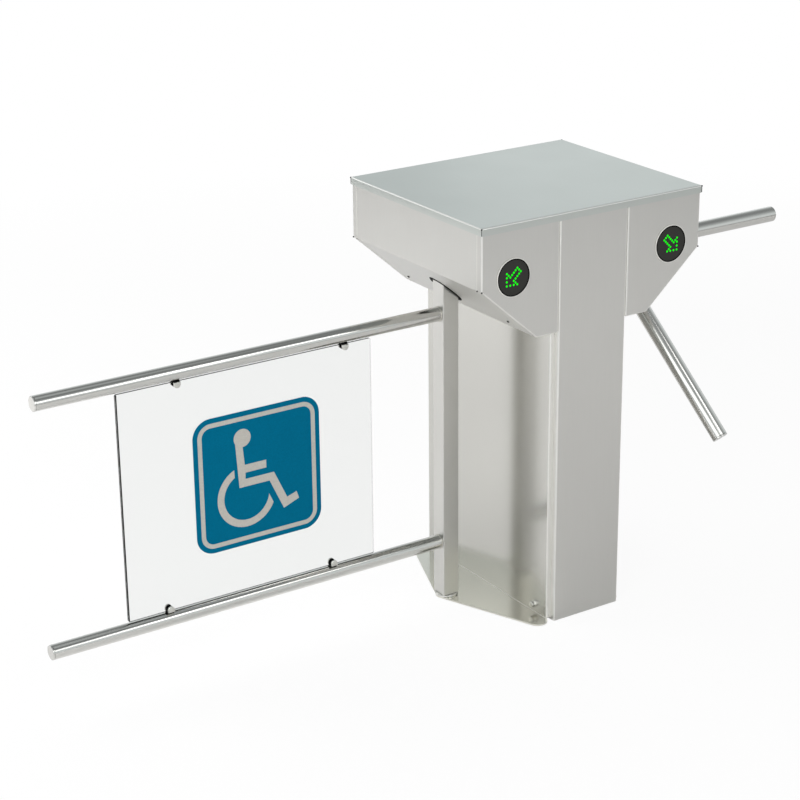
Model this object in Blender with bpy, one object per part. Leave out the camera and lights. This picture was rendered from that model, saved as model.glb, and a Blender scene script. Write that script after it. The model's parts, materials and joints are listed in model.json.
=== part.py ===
"""A waist-high pedestal turnstile in brushed stainless steel.

A column of folded sheet carries a wide head. On its right a hub with three
arms turns about an inclined axis. On its left a gate swings on a post. Front
is -Y, the gate side is -X and the floor is Z = 0. All sizes are in metres.
"""
import math

import bmesh
import bpy
from mathutils import Vector

# Sheet metal and running gaps
SHEET = 0.002
FOLD = 0.003
GAP = 0.0003
SEAM = 0.0006
GROOVE = 0.002

# Head
HEIGHT = 1.000
HEAD_WIDTH = 0.6144
HEAD_DEPTH = 0.5252
HEAD_HEIGHT = 0.278
HEAD_SIDE = 0.146
HEAD_FOOT_WIDTH = 0.3144
WING_FLANGE = 0.018
RELIEF = 0.004
LID_SKIRT = 0.0176
LID_CLEARANCE = 0.0008

# Column
CHANNEL_WIDTH = 0.1894
CHANNEL_RETURN = 0.038
COLUMN_WIDTH = 0.212
COLUMN_SETBACK = 0.0146
WALL_SLIT_HEIGHT = 0.032
WALL_SLIT_WIDTH = 0.0016

# Foot
BASE_THICKNESS = 0.004
EAR_RADIUS = 0.024
EAR_OUT = 0.022
ANCHOR_HOLE_RADIUS = 0.007
ANCHOR_INSET = 0.030
CABLE_HOLE_RADIUS = 0.030
CABLE_HOLE_BACK = 0.110

# Deck inside the head
DECK_THICKNESS = 0.004
DECK_EDGE = 0.007
DECK_OPENING = 0.120

# Gate post
POST_SIZE = 0.043
POST_WALL = 0.0025
POST_CORNER = 0.004
POST_OUT = 0.2224
POST_BOTTOM = 0.0125
POST_INTO_HEAD = 0.202
POST_CLEARANCE = 0.0045
PIVOT_DISC_RADIUS = 0.028
PIVOT_DISC_THICKNESS = 0.005
PIVOT_EDGE = 0.026
PIVOT_PIN_RADIUS = 0.009
PIVOT_SHOULDER_RADIUS = 0.016
PLUG_LENGTH = 0.022
SPINDLE_RADIUS = 0.0125
SPINDLE_END = 0.004
HEAD_FLANGE = 0.003

# Gate bracket, bearing and brake inside the head
BRACKET_THICKNESS = 0.006
BRACKET_WIDTH = 0.120
BRACKET_STANDOFF = 0.083
BRACKET_FOOT = 0.050
BRACKET_FOLD = 0.008
BRACKET_WINDOW_RADIUS = 0.030
SHELF_CLEARANCE = 0.006
SHELF_REACH = 0.040
GATE_BEARING_RADIUS = 0.0235
GATE_BEARING_LIP = 0.003
BRAKE_RADIUS = 0.034
BRAKE_HEIGHT = 0.024
BRAKE_COIL_OUTER = 0.030
BRAKE_COIL_INNER = 0.020
BRAKE_COIL_DEPTH = 0.004
BRAKE_DISC_THICKNESS = 0.006

# Gate rails and panel
RAIL_RADIUS = 0.017
RAIL_WALL = 0.0015
UPPER_RAIL_DROP = 0.2778
LOWER_RAIL_HEIGHT = 0.1465
RAIL_TIP = 1.2575
CAP_THICKNESS = 0.004
CAP_ROUNDING = 0.0015
CAP_SPIGOT = 0.015
PANEL_WIDTH = 0.640
PANEL_THICKNESS = 0.006
PANEL_EDGE_OUT = 0.4300
PANEL_GAP = 0.0035
PANEL_CORNER = 0.004
UPPER_CLIP_INSETS = (0.144, 0.072)
LOWER_CLIP_INSETS = (0.102, 0.113)
CLIP_WIDTH = 0.016
CLIP_LENGTH = 0.016
CLIP_DEPTH = 0.024
SIGN_SIZE = 0.319
SIGN_CORNER = 0.038
SIGN_THICKNESS = 0.0015
SIGN_OUT = 0.7340
SIGN_RISE = 0.006

# Tripod hub and arms
HUB_DOWN_SLOPE = 0.086
HUB_STAND_OUT = 0.0065
HUB_RADIUS = 0.068
HUB_RIM = 0.012
HUB_LENGTH = 0.062
HUB_NOSE_RADIUS = 0.028
HUB_NOSE_ROUNDING = 0.010
HUB_REAR_GAP = 0.0045
BOSS_RADIUS = 0.026
BOSS_START = 0.031
BOSS_END = 0.082
SOCKET_START = 0.048
ARM_COUNT = 3
ARM_RADIUS = 0.019
ARM_WALL = 0.0015
ARM_REACH = 0.531

# Tripod shaft and bearings, measured inward from the crossing of the arms
SHAFT_RADIUS = 0.015
SHAFT_SEAT = 0.0245
SHAFT_SHOULDER_RADIUS = 0.0185
SHAFT_LENGTH = 0.128
SKIN_OPENING_RADIUS = 0.045
HOUSING_START = 0.0110
HOUSING_LENGTH = 0.076
HOUSING_RADIUS = 0.036
HOUSING_BORE_RADIUS = 0.022
HOUSING_FLANGE_RADIUS = 0.056
HOUSING_FLANGE_THICKNESS = 0.010
BEARING_WIDTH = 0.015
BEARING_RADIUS = 0.0275
BEARING_GROOVE = 0.0015
INDEX_START = 0.090
INDEX_THICKNESS = 0.012
INDEX_RADIUS = 0.058
INDEX_HOLE_RADIUS = 0.011
LUG_RADIUS = 0.069
LUG_HALF_WIDTH = 0.006
NUT_RADIUS = 0.022
NUT_THICKNESS = 0.010
DAMPER_RADIUS = 0.032
DAMPER_THICKNESS = 0.022
DAMPER_STRAP_WIDTH = 0.024
DAMPER_STRAP_THICKNESS = 0.006

# Mechanism chassis
PLATE_START = 0.024
PLATE_THICKNESS = 0.010
PLATE_UP = 0.088
PLATE_DOWN = 0.095
CHEEK_INNER = 0.090
CHEEK_THICKNESS = 0.005
CHEEK_BACK = 0.030
CHEEK_SHOULDER_RISE = 0.072
CHEEK_SIDE = 0.065
CHEEK_TOP_INNER = 0.140
CHEEK_HOLE_RADIUS = 0.024
CHEEK_HOLE_OUT = 0.108

# Locking pawls and their solenoids, placed up and across from the hub axis
PAWL_UP = 0.079
PAWL_ACROSS = 0.060
PAWL_THICKNESS = 0.010
PAWL_LIFT = math.radians(12.0)
PAWL_BOSS_RADIUS = 0.009
PAWL_HALF_DEPTH = 0.005
PAWL_BACK_DEPTH = 0.007
PAWL_NOSE_DROP = 0.018
PAWL_NOSE_WIDTH = 0.0078
PAWL_PLAY = 0.0026
PAWL_TAIL = 0.026
PUSH_ARM = 0.018
PIN_RADIUS = 0.004
PIN_POST_RADIUS = 0.006
PLUNGER_RADIUS = 0.004
PLUNGER_LENGTH = 0.028
PUSH_GAP = 0.0004
SOLENOID_SIZE = 0.024
SOLENOID_TOP = 0.060
SOLENOID_LENGTH = 0.032
SOLENOID_BORE_DEPTH = 0.026

# Indicators
INDICATOR_OUT = 0.2225
INDICATOR_DROP = 0.125
INDICATOR_RADIUS = 0.0425
INDICATOR_RIM = 0.003
INDICATOR_BODY_RADIUS = 0.037
INDICATOR_DEPTH = 0.016
INDICATOR_FLANGE = 0.002
INDICATOR_PLAY = 0.001

# Electronics on the deck
BOARD_SIZE = (0.150, 0.100)
BOARD_THICKNESS = 0.0016
BOARD_STANDOFF = 0.010
BOARD_STANDOFF_RADIUS = 0.004
BOARD_CENTRE = (-0.045, 0.165)
BOARD_BLOCKS = (
    (-0.045, -0.030, 0.040, 0.016, 0.014),
    (0.010, 0.034, 0.090, 0.012, 0.012),
    (0.040, -0.015, 0.022, 0.040, 0.020),
    (-0.030, 0.010, 0.030, 0.024, 0.006),
)
SUPPLY_SIZE = (0.150, 0.090, 0.042)
SUPPLY_CENTRE = (-0.045, -0.165)
SUPPLY_FINS = 9
SUPPLY_FIN_DEPTH = 0.008

ROUND = 28
SMALL_ROUND = 18
ARC_STEPS = 6

# Values worked out from the sizes above
head_bottom = HEIGHT - HEAD_HEIGHT
shoulder = HEIGHT - HEAD_SIDE
post_top = head_bottom + POST_INTO_HEAD
upper_rail_height = HEIGHT - UPPER_RAIL_DROP
indicator_height = HEIGHT - INDICATOR_DROP
half_width = HEAD_WIDTH / 2
half_depth = HEAD_DEPTH / 2
wing_top = HEIGHT - SHEET - GAP
channel_half = CHANNEL_WIDTH / 2
channel_back = half_depth - CHANNEL_RETURN
column_half = COLUMN_WIDTH / 2
column_end = half_depth - COLUMN_SETBACK
bottom_half = HEAD_FOOT_WIDTH / 2
wing_inner = channel_half + GROOVE
skin_half = half_depth - WING_FLANGE - SEAM
slope_run = half_width - bottom_half
slope_rise = shoulder - head_bottom
slope_length = math.hypot(slope_run, slope_rise)
hub_tilt = math.atan2(slope_run, slope_rise)
deck_floor = head_bottom + SHEET + GAP
deck_top = deck_floor + DECK_THICKNESS
plate_back = PLATE_START + PLATE_THICKNESS
housing_end = HOUSING_START + HOUSING_LENGTH
pawl_mid = INDEX_START + INDEX_THICKNESS / 2
shelf_low = post_top + SHELF_CLEARANCE
shelf_high = shelf_low + BRACKET_THICKNESS
disc_top = BASE_THICKNESS + GAP + PIVOT_DISC_THICKNESS

# The arms cross on the hub axis, just outside the sloping side of the head
hub_point = Vector((
    half_width - slope_run * HUB_DOWN_SLOPE / slope_length + HUB_STAND_OUT * math.cos(hub_tilt),
    0.0,
    shoulder - slope_rise * HUB_DOWN_SLOPE / slope_length - HUB_STAND_OUT * math.sin(hub_tilt),
))


def clear_scene():
    """Remove every object that the file opened with."""
    for thing in list(bpy.data.objects):
        bpy.data.objects.remove(thing, do_unlink=True)


def finish_material(name, colour, roughness, metallic, alpha=1.0):
    """Make one Principled material from an sRGB colour written as a hex number."""
    channels = [(colour >> shift & 255) / 255 for shift in (16, 8, 0)]
    linear = [c / 12.92 if c <= 0.04045 else ((c + 0.055) / 1.055) ** 2.4 for c in channels]
    made = bpy.data.materials.new(name)
    made.use_nodes = True
    shader = made.node_tree.nodes["Principled BSDF"]
    shader.inputs["Base Color"].default_value = (*linear, 1.0)
    shader.inputs["Roughness"].default_value = roughness
    shader.inputs["Metallic"].default_value = metallic
    shader.inputs["Alpha"].default_value = alpha
    return made


def empty_at(name, place, turn=(0.0, 0.0, 0.0), parent=None):
    """An empty that marks a joint axis or carries a group of pieces."""
    made = bpy.data.objects.new(name, None)
    bpy.context.collection.objects.link(made)
    made.parent = parent
    made.location = place
    made.rotation_euler = turn
    return made


def piece(name, shape, material, place=(0.0, 0.0, 0.0), turn=(0.0, 0.0, 0.0), parent=None):
    """Turn a finished bmesh into a named object with its own material slot."""
    bmesh.ops.recalc_face_normals(shape, faces=shape.faces)
    mesh = bpy.data.meshes.new(name)
    shape.to_mesh(mesh)
    shape.free()
    mesh.shade_smooth()
    mesh.set_sharp_from_angle(angle=math.radians(35.0))
    made = bpy.data.objects.new(name, mesh)
    bpy.context.collection.objects.link(made)
    made.data.materials.append(material)
    made.parent = parent
    made.location = place
    made.rotation_euler = turn
    return made


def cutter(name, shape, place=(0.0, 0.0, 0.0), turn=(0.0, 0.0, 0.0), parent=None):
    """A tool shape that is left out of the model and only cuts or adds."""
    made = piece(name, shape, steel, place, turn, parent)
    made.hide_render = True
    made.display_type = "WIRE"
    return made


def boolean(target, tool, operation="DIFFERENCE"):
    """Cut a tool shape out of a piece, or join it on."""
    step = target.modifiers.new(tool.name, "BOOLEAN")
    step.operation = operation
    step.solver = "EXACT"
    step.object = tool


def arc(centre, radius, start, end, steps=ARC_STEPS):
    """Points along an arc in a plane, both ends included."""
    turns = [start + (end - start) * k / steps for k in range(steps + 1)]
    return [(centre[0] + radius * math.cos(t), centre[1] + radius * math.sin(t)) for t in turns]


def rounded_rectangle(width, height, corner):
    """Outline of a rectangle with round corners about the origin."""
    outline = []
    for index, (side_x, side_y) in enumerate(((1, 1), (-1, 1), (-1, -1), (1, -1))):
        centre = (side_x * (width / 2 - corner), side_y * (height / 2 - corner))
        outline += arc(centre, corner, index * math.pi / 2, (index + 1) * math.pi / 2, ARC_STEPS // 2)
    return outline


def bent_strip(corners, thickness, fold):
    """Outline of folded sheet: the given outer line, with the thickness on its left."""
    points = [Vector(corner) for corner in corners]
    outer, inner = [], []
    for index, point in enumerate(points):
        before = (point - points[index - 1]).normalized() if index else None
        after = (points[index + 1] - point).normalized() if index + 1 < len(points) else None
        if before is None or after is None:
            along = after or before
            left = Vector((-along.y, along.x))
            outer.append(tuple(point))
            inner.append(tuple(point + left * thickness))
            continue
        bend = math.atan2(before.x * after.y - before.y * after.x, before.dot(after))
        side = 1 if bend > 0 else -1
        radius = fold if side > 0 else fold - thickness
        left = Vector((-before.y, before.x)) * side
        centre = point - before * radius * math.tan(abs(bend) / 2) + left * radius
        start = math.atan2(-left.y, -left.x)
        outer += arc(centre, radius, start, start + bend, ARC_STEPS // 2)
        inner += arc(centre, radius - side * thickness, start, start + bend, ARC_STEPS // 2)
    return outer + inner[::-1]


def inset(outline, distance):
    """Move every side of a convex outline inward by the same distance."""
    area = sum(a[0] * b[1] - b[0] * a[1] for a, b in zip(outline, outline[1:] + outline[:1]))
    side = 1 if area > 0 else -1
    lines = []
    for a, b in zip(outline, outline[1:] + outline[:1]):
        along = Vector((b[0] - a[0], b[1] - a[1])).normalized()
        left = Vector((-along.y, along.x)) * side
        lines.append((Vector(a) + left * distance, along))
    moved = []
    for (p, d), (q, e) in zip(lines[-1:] + lines[:-1], lines):
        reach = ((q - p).x * e.y - (q - p).y * e.x) / (d.x * e.y - d.y * e.x)
        moved.append(tuple(p + d * reach))
    return moved


def prism(outline, low, high, axis="Z"):
    """Extrude an outline along X, Y or Z. The outline is in the other two axes, in order."""
    shape = bmesh.new()
    order = {"X": (2, 0, 1), "Y": (0, 2, 1), "Z": (0, 1, 2)}[axis]
    corners = [shape.verts.new([(u, v, low)[k] for k in order]) for u, v in outline]
    face = shape.faces.new(corners)
    made = bmesh.ops.extrude_face_region(shape, geom=[face])
    moved = [item for item in made["geom"] if isinstance(item, bmesh.types.BMVert)]
    along = {"X": (1, 0, 0), "Y": (0, 1, 0), "Z": (0, 0, 1)}[axis]
    bmesh.ops.translate(shape, verts=moved, vec=Vector(along) * (high - low))
    return shape


def box(low, high):
    """A plain block between two corners."""
    outline = [(low[0], low[1]), (high[0], low[1]), (high[0], high[1]), (low[0], high[1])]
    return prism(outline, low[2], high[2])


def turned(profile, count=ROUND):
    """Spin a closed profile of (radius, height) points about Z."""
    shape = bmesh.new()
    ring = [shape.verts.new((radius, 0.0, height)) for radius, height in profile]
    closed = profile[0][0] > 0 or profile[-1][0] > 0
    edges = [shape.edges.new(pair) for pair in zip(ring, ring[1:])]
    if closed:
        edges.append(shape.edges.new((ring[-1], ring[0])))
    bmesh.ops.spin(
        shape, geom=ring + edges, cent=(0, 0, 0), axis=(0, 0, 1),
        angle=math.tau, steps=count, use_merge=True,
    )
    bmesh.ops.remove_doubles(shape, verts=shape.verts, dist=1e-6)
    return shape


def rod(radius, low, high, count=ROUND):
    """A solid round bar along Z."""
    return turned([(0.0, low), (radius, low), (radius, high), (0.0, high)], count)


def pipe(radius, bore, low, high, count=ROUND):
    """A round tube along Z, open at both ends."""
    return turned([(bore, low), (radius, low), (radius, high), (bore, high)], count)


def pressed_panel(name, outline, side, material):
    """A flat face on the front or rear of the head with a flange folded back all round."""
    face = side * half_depth
    shape = prism(outline, face, face - side * WING_FLANGE, "Y")
    rims = [e for e in shape.edges if all(abs(v.co.y - face) < GAP for v in e.verts)]
    corners = [e for e in shape.edges if abs(e.verts[0].co.y - e.verts[1].co.y) > GAP]
    bmesh.ops.bevel(
        shape, geom=rims + corners, offset=FOLD, segments=2, affect="EDGES",
        profile=0.5, material=-1,
    )
    made = piece(name, shape, material)
    hollow = prism(inset(outline, SHEET), face - side * SHEET, face - side * 2 * WING_FLANGE, "Y")
    boolean(made, cutter(name + "_hollow", hollow))
    return made


clear_scene()

steel = finish_material("brushed stainless", 0xB9B8B2, 0.30, 1.0)
polished = finish_material("polished stainless tube", 0xC4C3BE, 0.18, 1.0)
cast = finish_material("cast aluminium", 0x9A9B9A, 0.45, 1.0)
zinc = finish_material("zinc plated steel", 0x9DA0A2, 0.40, 1.0)
black_plastic = finish_material("black plastic", 0x1E1E1E, 0.45, 0.0)
clear_acrylic = finish_material("clear acrylic", 0xF4F6F6, 0.05, 0.0, 0.25)
sign_blue = finish_material("blue sign film", 0x006586, 0.40, 0.0)
board_green = finish_material("circuit board", 0x1F5A34, 0.50, 0.0)

facing = {-1: (math.pi / 2, 0.0, 0.0), 1: (-math.pi / 2, 0.0, 0.0)}
toward_minus_x = (0.0, -math.pi / 2, 0.0)

# Foot plate: two round ears and a point that carries the gate, notched round the channels
ear_x = -column_half - EAR_OUT
ear_y = column_end - EAR_RADIUS / 4
ear_reach = math.hypot(ear_x + POST_OUT, ear_y)
tangent = math.atan2(ear_y, ear_x + POST_OUT) + math.pi / 2
tangent += math.asin((PIVOT_EDGE - EAR_RADIUS) / ear_reach)
plate_in = channel_back - GAP
plate_left = -channel_half - SEAM
foot_outline = arc((ear_x, ear_y), EAR_RADIUS, 0.0, tangent, 2 * ARC_STEPS)
foot_outline += arc((-POST_OUT, 0.0), PIVOT_EDGE, tangent, math.tau - tangent)
foot_outline += arc((ear_x, -ear_y), EAR_RADIUS, -tangent, 0.0, 2 * ARC_STEPS)
foot_outline += [(plate_left, -ear_y), (plate_left, -plate_in), (-plate_left, -plate_in)]
foot_outline += [(-plate_left, -column_end), (column_half, -column_end)]
foot_outline += [(column_half, column_end), (-plate_left, column_end)]
foot_outline += [(-plate_left, plate_in), (plate_left, plate_in), (plate_left, ear_y)]
base = piece("base_plate", prism(foot_outline, 0.0, BASE_THICKNESS), steel)
drills = [(0.0, CABLE_HOLE_BACK, CABLE_HOLE_RADIUS)]
for side_x in (-1, 1):
    for side_y in (-1, 1):
        drill_x = side_x * (channel_half - ANCHOR_INSET)
        drill_y = side_y * (plate_in - ANCHOR_INSET)
        drills.append((drill_x, drill_y, ANCHOR_HOLE_RADIUS))
for index, (drill_x, drill_y, radius) in enumerate(drills):
    drill = rod(radius, -BASE_THICKNESS, 2 * BASE_THICKNESS, 2 * ARC_STEPS)
    boolean(base, cutter(f"base_drill_{index}", drill, (drill_x, drill_y, 0.0)))

# Two channels that run from the floor to the lid, open towards each other
for name, side in (("front_channel", -1), ("rear_channel", 1)):
    path = [
        (side * channel_half, side * channel_back),
        (side * channel_half, side * half_depth),
        (-side * channel_half, side * half_depth),
        (-side * channel_half, side * channel_back),
    ]
    piece(name, prism(bent_strip(path, SHEET, FOLD), 0.0, wing_top), steel)

# Two column walls whose folded ends stop just short of the channels
for name, side in (("left_wall", -1), ("right_wall", 1)):
    path = [
        (side * (channel_half + SEAM), -side * column_end),
        (side * column_half, -side * column_end),
        (side * column_half, side * column_end),
        (side * (channel_half + SEAM), side * column_end),
    ]
    wall = prism(bent_strip(path, SHEET, FOLD), BASE_THICKNESS + GAP, head_bottom - GAP)
    wall = piece(name, wall, steel)
    slit_y = -column_end + FOLD + WALL_SLIT_WIDTH
    slit_low = (side * (column_half + SHEET), slit_y, 0.0)
    slit_high = (side * (column_half - 2 * SHEET), slit_y + WALL_SLIT_WIDTH, WALL_SLIT_HEIGHT)
    boolean(wall, cutter(name + "_slit", box(slit_low, slit_high)))

# Four wings that widen the head, each with a round hole for its indicator
for end, side_y in (("front", -1), ("rear", 1)):
    for hand, side_x in (("left", -1), ("right", 1)):
        outline = [
            (side_x * wing_inner, head_bottom),
            (side_x * bottom_half, head_bottom),
            (side_x * half_width, shoulder),
            (side_x * half_width, wing_top),
            (side_x * wing_inner, wing_top),
        ]
        wing = pressed_panel(f"{end}_{hand}_wing", outline, side_y, steel)
        hole = rod(INDICATOR_BODY_RADIUS + INDICATOR_PLAY, -WING_FLANGE, WING_FLANGE, SMALL_ROUND)
        place = (side_x * INDICATOR_OUT, side_y * half_depth, indicator_height)
        boolean(wing, cutter(wing.name + "_hole", hole, place, facing[side_y]))
        relief_turn = (0.0, side_x * (math.pi / 2 + hub_tilt / 2), 0.0)
        for place_name, back in (("fold", RELIEF / 4), ("seam", WING_FLANGE - RELIEF / 4)):
            relief = cutter(
                f"{wing.name}_{place_name}", rod(RELIEF / 2, -FOLD, FOLD, 2 * ARC_STEPS),
                (side_x * half_width, side_y * (half_depth - back), shoulder), relief_turn,
            )
            boolean(wing, relief)

# Two skins folded down the side, along the slope and under the head
for name, side in (("left_skin", -1), ("right_skin", 1)):
    path = [
        (side * half_width, wing_top),
        (side * half_width, shoulder),
        (side * bottom_half, head_bottom),
        (side * (column_half - FOLD - SHEET), head_bottom),
    ]
    if side > 0:
        path.reverse()
    skin = piece(name, prism(bent_strip(path, SHEET, FOLD), -skin_half, skin_half, "Y"), steel)
    if side < 0:
        post_sweep = POST_SIZE / math.sqrt(2) + POST_CLEARANCE
        opening = rod(post_sweep, head_bottom, shoulder)
        boolean(skin, cutter("post_opening", opening, (-POST_OUT, 0.0, 0.0)))
    else:
        opening = rod(SKIN_OPENING_RADIUS, -HUB_RIM - SHEET, 0.0)
        boolean(skin, cutter("hub_opening", opening, hub_point, (0.0, math.pi / 2 + hub_tilt, 0.0)))

# Lid: a shallow pan turned down over the head, notched at its folded corners
lid_half_x = half_width + LID_CLEARANCE + SHEET
lid_half_y = half_depth + LID_CLEARANCE + SHEET
lid_shape = box((-lid_half_x, -lid_half_y, HEIGHT - LID_SKIRT), (lid_half_x, lid_half_y, HEIGHT))
lid_edges = [e for e in lid_shape.edges if any(v.co.z > HEIGHT - GAP for v in e.verts)]
bmesh.ops.bevel(
    lid_shape, geom=lid_edges, offset=FOLD, segments=2, affect="EDGES", profile=0.5, material=-1,
)
lid = piece("lid", lid_shape, steel)
lid_low = (SHEET - lid_half_x, SHEET - lid_half_y, HEIGHT - 2 * LID_SKIRT)
lid_high = (lid_half_x - SHEET, lid_half_y - SHEET, HEIGHT - SHEET)
boolean(lid, cutter("lid_hollow", box(lid_low, lid_high)))
for side_x in (-1, 1):
    for side_y in (-1, 1):
        relief = cutter(
            f"lid_relief_{side_x}_{side_y}", rod(RELIEF / 2, -FOLD, FOLD, ARC_STEPS * 2),
            (side_x * lid_half_x, side_y * lid_half_y, HEIGHT - LID_SKIRT),
            (math.pi / 2, 0.0, -side_x * side_y * math.pi / 4),
        )
        boolean(lid, relief)

# Deck that carries the works, with an opening for the cables
deck_half_x = bottom_half - DECK_EDGE
deck_shape = box((-deck_half_x, -plate_in, deck_floor), (deck_half_x, plate_in, deck_top))
deck = piece("deck_plate", deck_shape, zinc)
opening = box((-DECK_OPENING / 2, -DECK_OPENING / 2, 0.0), (DECK_OPENING / 4, DECK_OPENING / 2, HEIGHT))
boolean(deck, cutter("deck_opening", opening))

# Indicators: a round lamp with a raised rim that plugs into each wing
lamp_face = GAP + INDICATOR_FLANGE
lamp_profile = [
    (0.0, -INDICATOR_DEPTH),
    (INDICATOR_BODY_RADIUS, -INDICATOR_DEPTH),
    (INDICATOR_BODY_RADIUS, GAP),
    (INDICATOR_RADIUS, GAP),
    (INDICATOR_RADIUS, lamp_face - INDICATOR_FLANGE / 4),
    (INDICATOR_RADIUS - INDICATOR_FLANGE / 4, lamp_face),
    (INDICATOR_RADIUS - INDICATOR_RIM, lamp_face),
    (INDICATOR_RADIUS - INDICATOR_RIM, lamp_face - INDICATOR_FLANGE / 2),
    (0.0, lamp_face - INDICATOR_FLANGE / 2),
]
for end, side_y in (("front", -1), ("rear", 1)):
    for hand, side_x in (("left", -1), ("right", 1)):
        place = (side_x * INDICATOR_OUT, side_y * half_depth, indicator_height)
        shape = turned(lamp_profile)
        piece(f"{end}_{hand}_indicator", shape, black_plastic, place, facing[side_y])

# Gate bracket: a folded plate that stands on the deck and reaches out over the post
web_x = -POST_OUT + BRACKET_STANDOFF
foot_face = deck_top + GAP + BRACKET_THICKNESS
bracket_path = [
    (web_x + BRACKET_FOOT, foot_face),
    (web_x, foot_face),
    (web_x, shelf_high),
    (-POST_OUT - SHELF_REACH, shelf_high),
]
bracket_section = bent_strip(bracket_path, BRACKET_THICKNESS, BRACKET_FOLD)
bracket_shape = prism(bracket_section, -BRACKET_WIDTH / 2, BRACKET_WIDTH / 2, "Y")
bracket = piece("gate_bracket", bracket_shape, zinc)
seat = rod(GATE_BEARING_RADIUS + GAP, shelf_low - SHEET, shelf_high + SHEET)
boolean(bracket, cutter("bearing_seat", seat, (-POST_OUT, 0.0, 0.0)))
window = rod(BRACKET_WINDOW_RADIUS, -BRACKET_THICKNESS, 2 * BRACKET_THICKNESS, SMALL_ROUND)
window_place = (web_x - BRACKET_THICKNESS, 0.0, (deck_top + shelf_low) / 2)
boolean(bracket, cutter("bracket_window", window, window_place, (0.0, math.pi / 2, 0.0)))

lip_top = shelf_high + GAP + GATE_BEARING_LIP
bearing_profile = [
    (SPINDLE_RADIUS + GAP, shelf_low),
    (GATE_BEARING_RADIUS, shelf_low),
    (GATE_BEARING_RADIUS, shelf_high + GAP),
    (GATE_BEARING_RADIUS + GATE_BEARING_LIP, shelf_high + GAP),
    (GATE_BEARING_RADIUS + GATE_BEARING_LIP, lip_top),
    (SPINDLE_RADIUS + GAP, lip_top),
]
piece("gate_bearing", turned(bearing_profile, SMALL_ROUND), zinc, (-POST_OUT, 0.0, 0.0))

# Gate brake: a ring magnet on the bracket under a steel disc that turns with the gate
brake_low = shelf_high + GAP
brake_top = brake_low + BRAKE_HEIGHT
brake_profile = [
    (GATE_BEARING_RADIUS + GATE_BEARING_LIP + GAP, brake_low),
    (BRAKE_RADIUS, brake_low),
    (BRAKE_RADIUS, brake_top),
    (BRAKE_COIL_OUTER, brake_top),
    (BRAKE_COIL_OUTER, brake_top - BRAKE_COIL_DEPTH),
    (BRAKE_COIL_INNER, brake_top - BRAKE_COIL_DEPTH),
    (BRAKE_COIL_INNER, brake_top),
    (SPINDLE_RADIUS + SHEET, brake_top),
    (SPINDLE_RADIUS + SHEET, lip_top + GAP),
    (GATE_BEARING_RADIUS + GATE_BEARING_LIP + GAP, lip_top + GAP),
]
piece("gate_brake", turned(brake_profile, SMALL_ROUND), zinc, (-POST_OUT, 0.0, 0.0))

pivot_profile = [
    (PIVOT_PIN_RADIUS + GAP, BASE_THICKNESS + GAP),
    (PIVOT_DISC_RADIUS, BASE_THICKNESS + GAP),
    (PIVOT_DISC_RADIUS, disc_top - PIVOT_DISC_THICKNESS / 4),
    (PIVOT_DISC_RADIUS - PIVOT_DISC_THICKNESS / 4, disc_top),
    (PIVOT_PIN_RADIUS + GAP, disc_top),
]
piece("pivot_disc", turned(pivot_profile, SMALL_ROUND), zinc, (-POST_OUT, 0.0, 0.0))

# Gate: everything below turns about the post
gate_axis = empty_at("gate_axis", (-POST_OUT, 0.0, 0.0))
post_outline = rounded_rectangle(POST_SIZE, POST_SIZE, POST_CORNER)
post = piece("gate_post", prism(post_outline, POST_BOTTOM, post_top), polished, parent=gate_axis)
post_inner = POST_SIZE - 2 * POST_WALL
bore_outline = rounded_rectangle(post_inner, post_inner, POST_CORNER - POST_WALL)
post_bore = prism(bore_outline, POST_BOTTOM - SHEET, post_top + SHEET)
boolean(post, cutter("post_bore", post_bore, parent=gate_axis))

plug_size = post_inner - 2 * GAP
plug_outline = rounded_rectangle(plug_size, plug_size, POST_CORNER - POST_WALL)
foot_plug = prism(plug_outline, POST_BOTTOM, POST_BOTTOM + PLUG_LENGTH)
foot = piece("foot_pivot", foot_plug, zinc, parent=gate_axis)
pin_profile = [
    (0.0, BASE_THICKNESS + GAP),
    (PIVOT_PIN_RADIUS, BASE_THICKNESS + GAP),
    (PIVOT_PIN_RADIUS, disc_top + GAP),
    (PIVOT_SHOULDER_RADIUS, disc_top + GAP),
    (PIVOT_SHOULDER_RADIUS, POST_BOTTOM + PLUG_LENGTH / 2),
    (0.0, POST_BOTTOM + PLUG_LENGTH / 2),
]
boolean(foot, cutter("foot_pin", turned(pin_profile, SMALL_ROUND), parent=gate_axis), "UNION")

top_plug = prism(plug_outline, post_top - PLUG_LENGTH, post_top + GAP + HEAD_FLANGE / 2)
top = piece("head_pivot", top_plug, zinc, parent=gate_axis)
flange = prism(post_outline, post_top + GAP, post_top + GAP + HEAD_FLANGE)
boolean(top, cutter("head_flange", flange, parent=gate_axis), "UNION")
brake_disc_low = brake_top + GAP
spindle_top = brake_disc_low + BRAKE_DISC_THICKNESS + SPINDLE_END
spindle_profile = [
    (0.0, post_top),
    (SPINDLE_RADIUS, post_top),
    (SPINDLE_RADIUS, spindle_top - FOLD / 2),
    (SPINDLE_RADIUS - FOLD / 2, spindle_top),
    (0.0, spindle_top),
]
boolean(top, cutter("head_spindle", turned(spindle_profile, SMALL_ROUND), parent=gate_axis), "UNION")
disc_shape = pipe(BRAKE_RADIUS, SPINDLE_RADIUS + GAP, brake_disc_low, brake_disc_low + BRAKE_DISC_THICKNESS)
piece("brake_disc", disc_shape, zinc, parent=gate_axis)

# Two rails welded to the post, each closed by a plug with a rounded rim
rail_start = POST_SIZE / 2 + GAP
rail_end = RAIL_TIP - POST_OUT - CAP_THICKNESS - GAP


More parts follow.
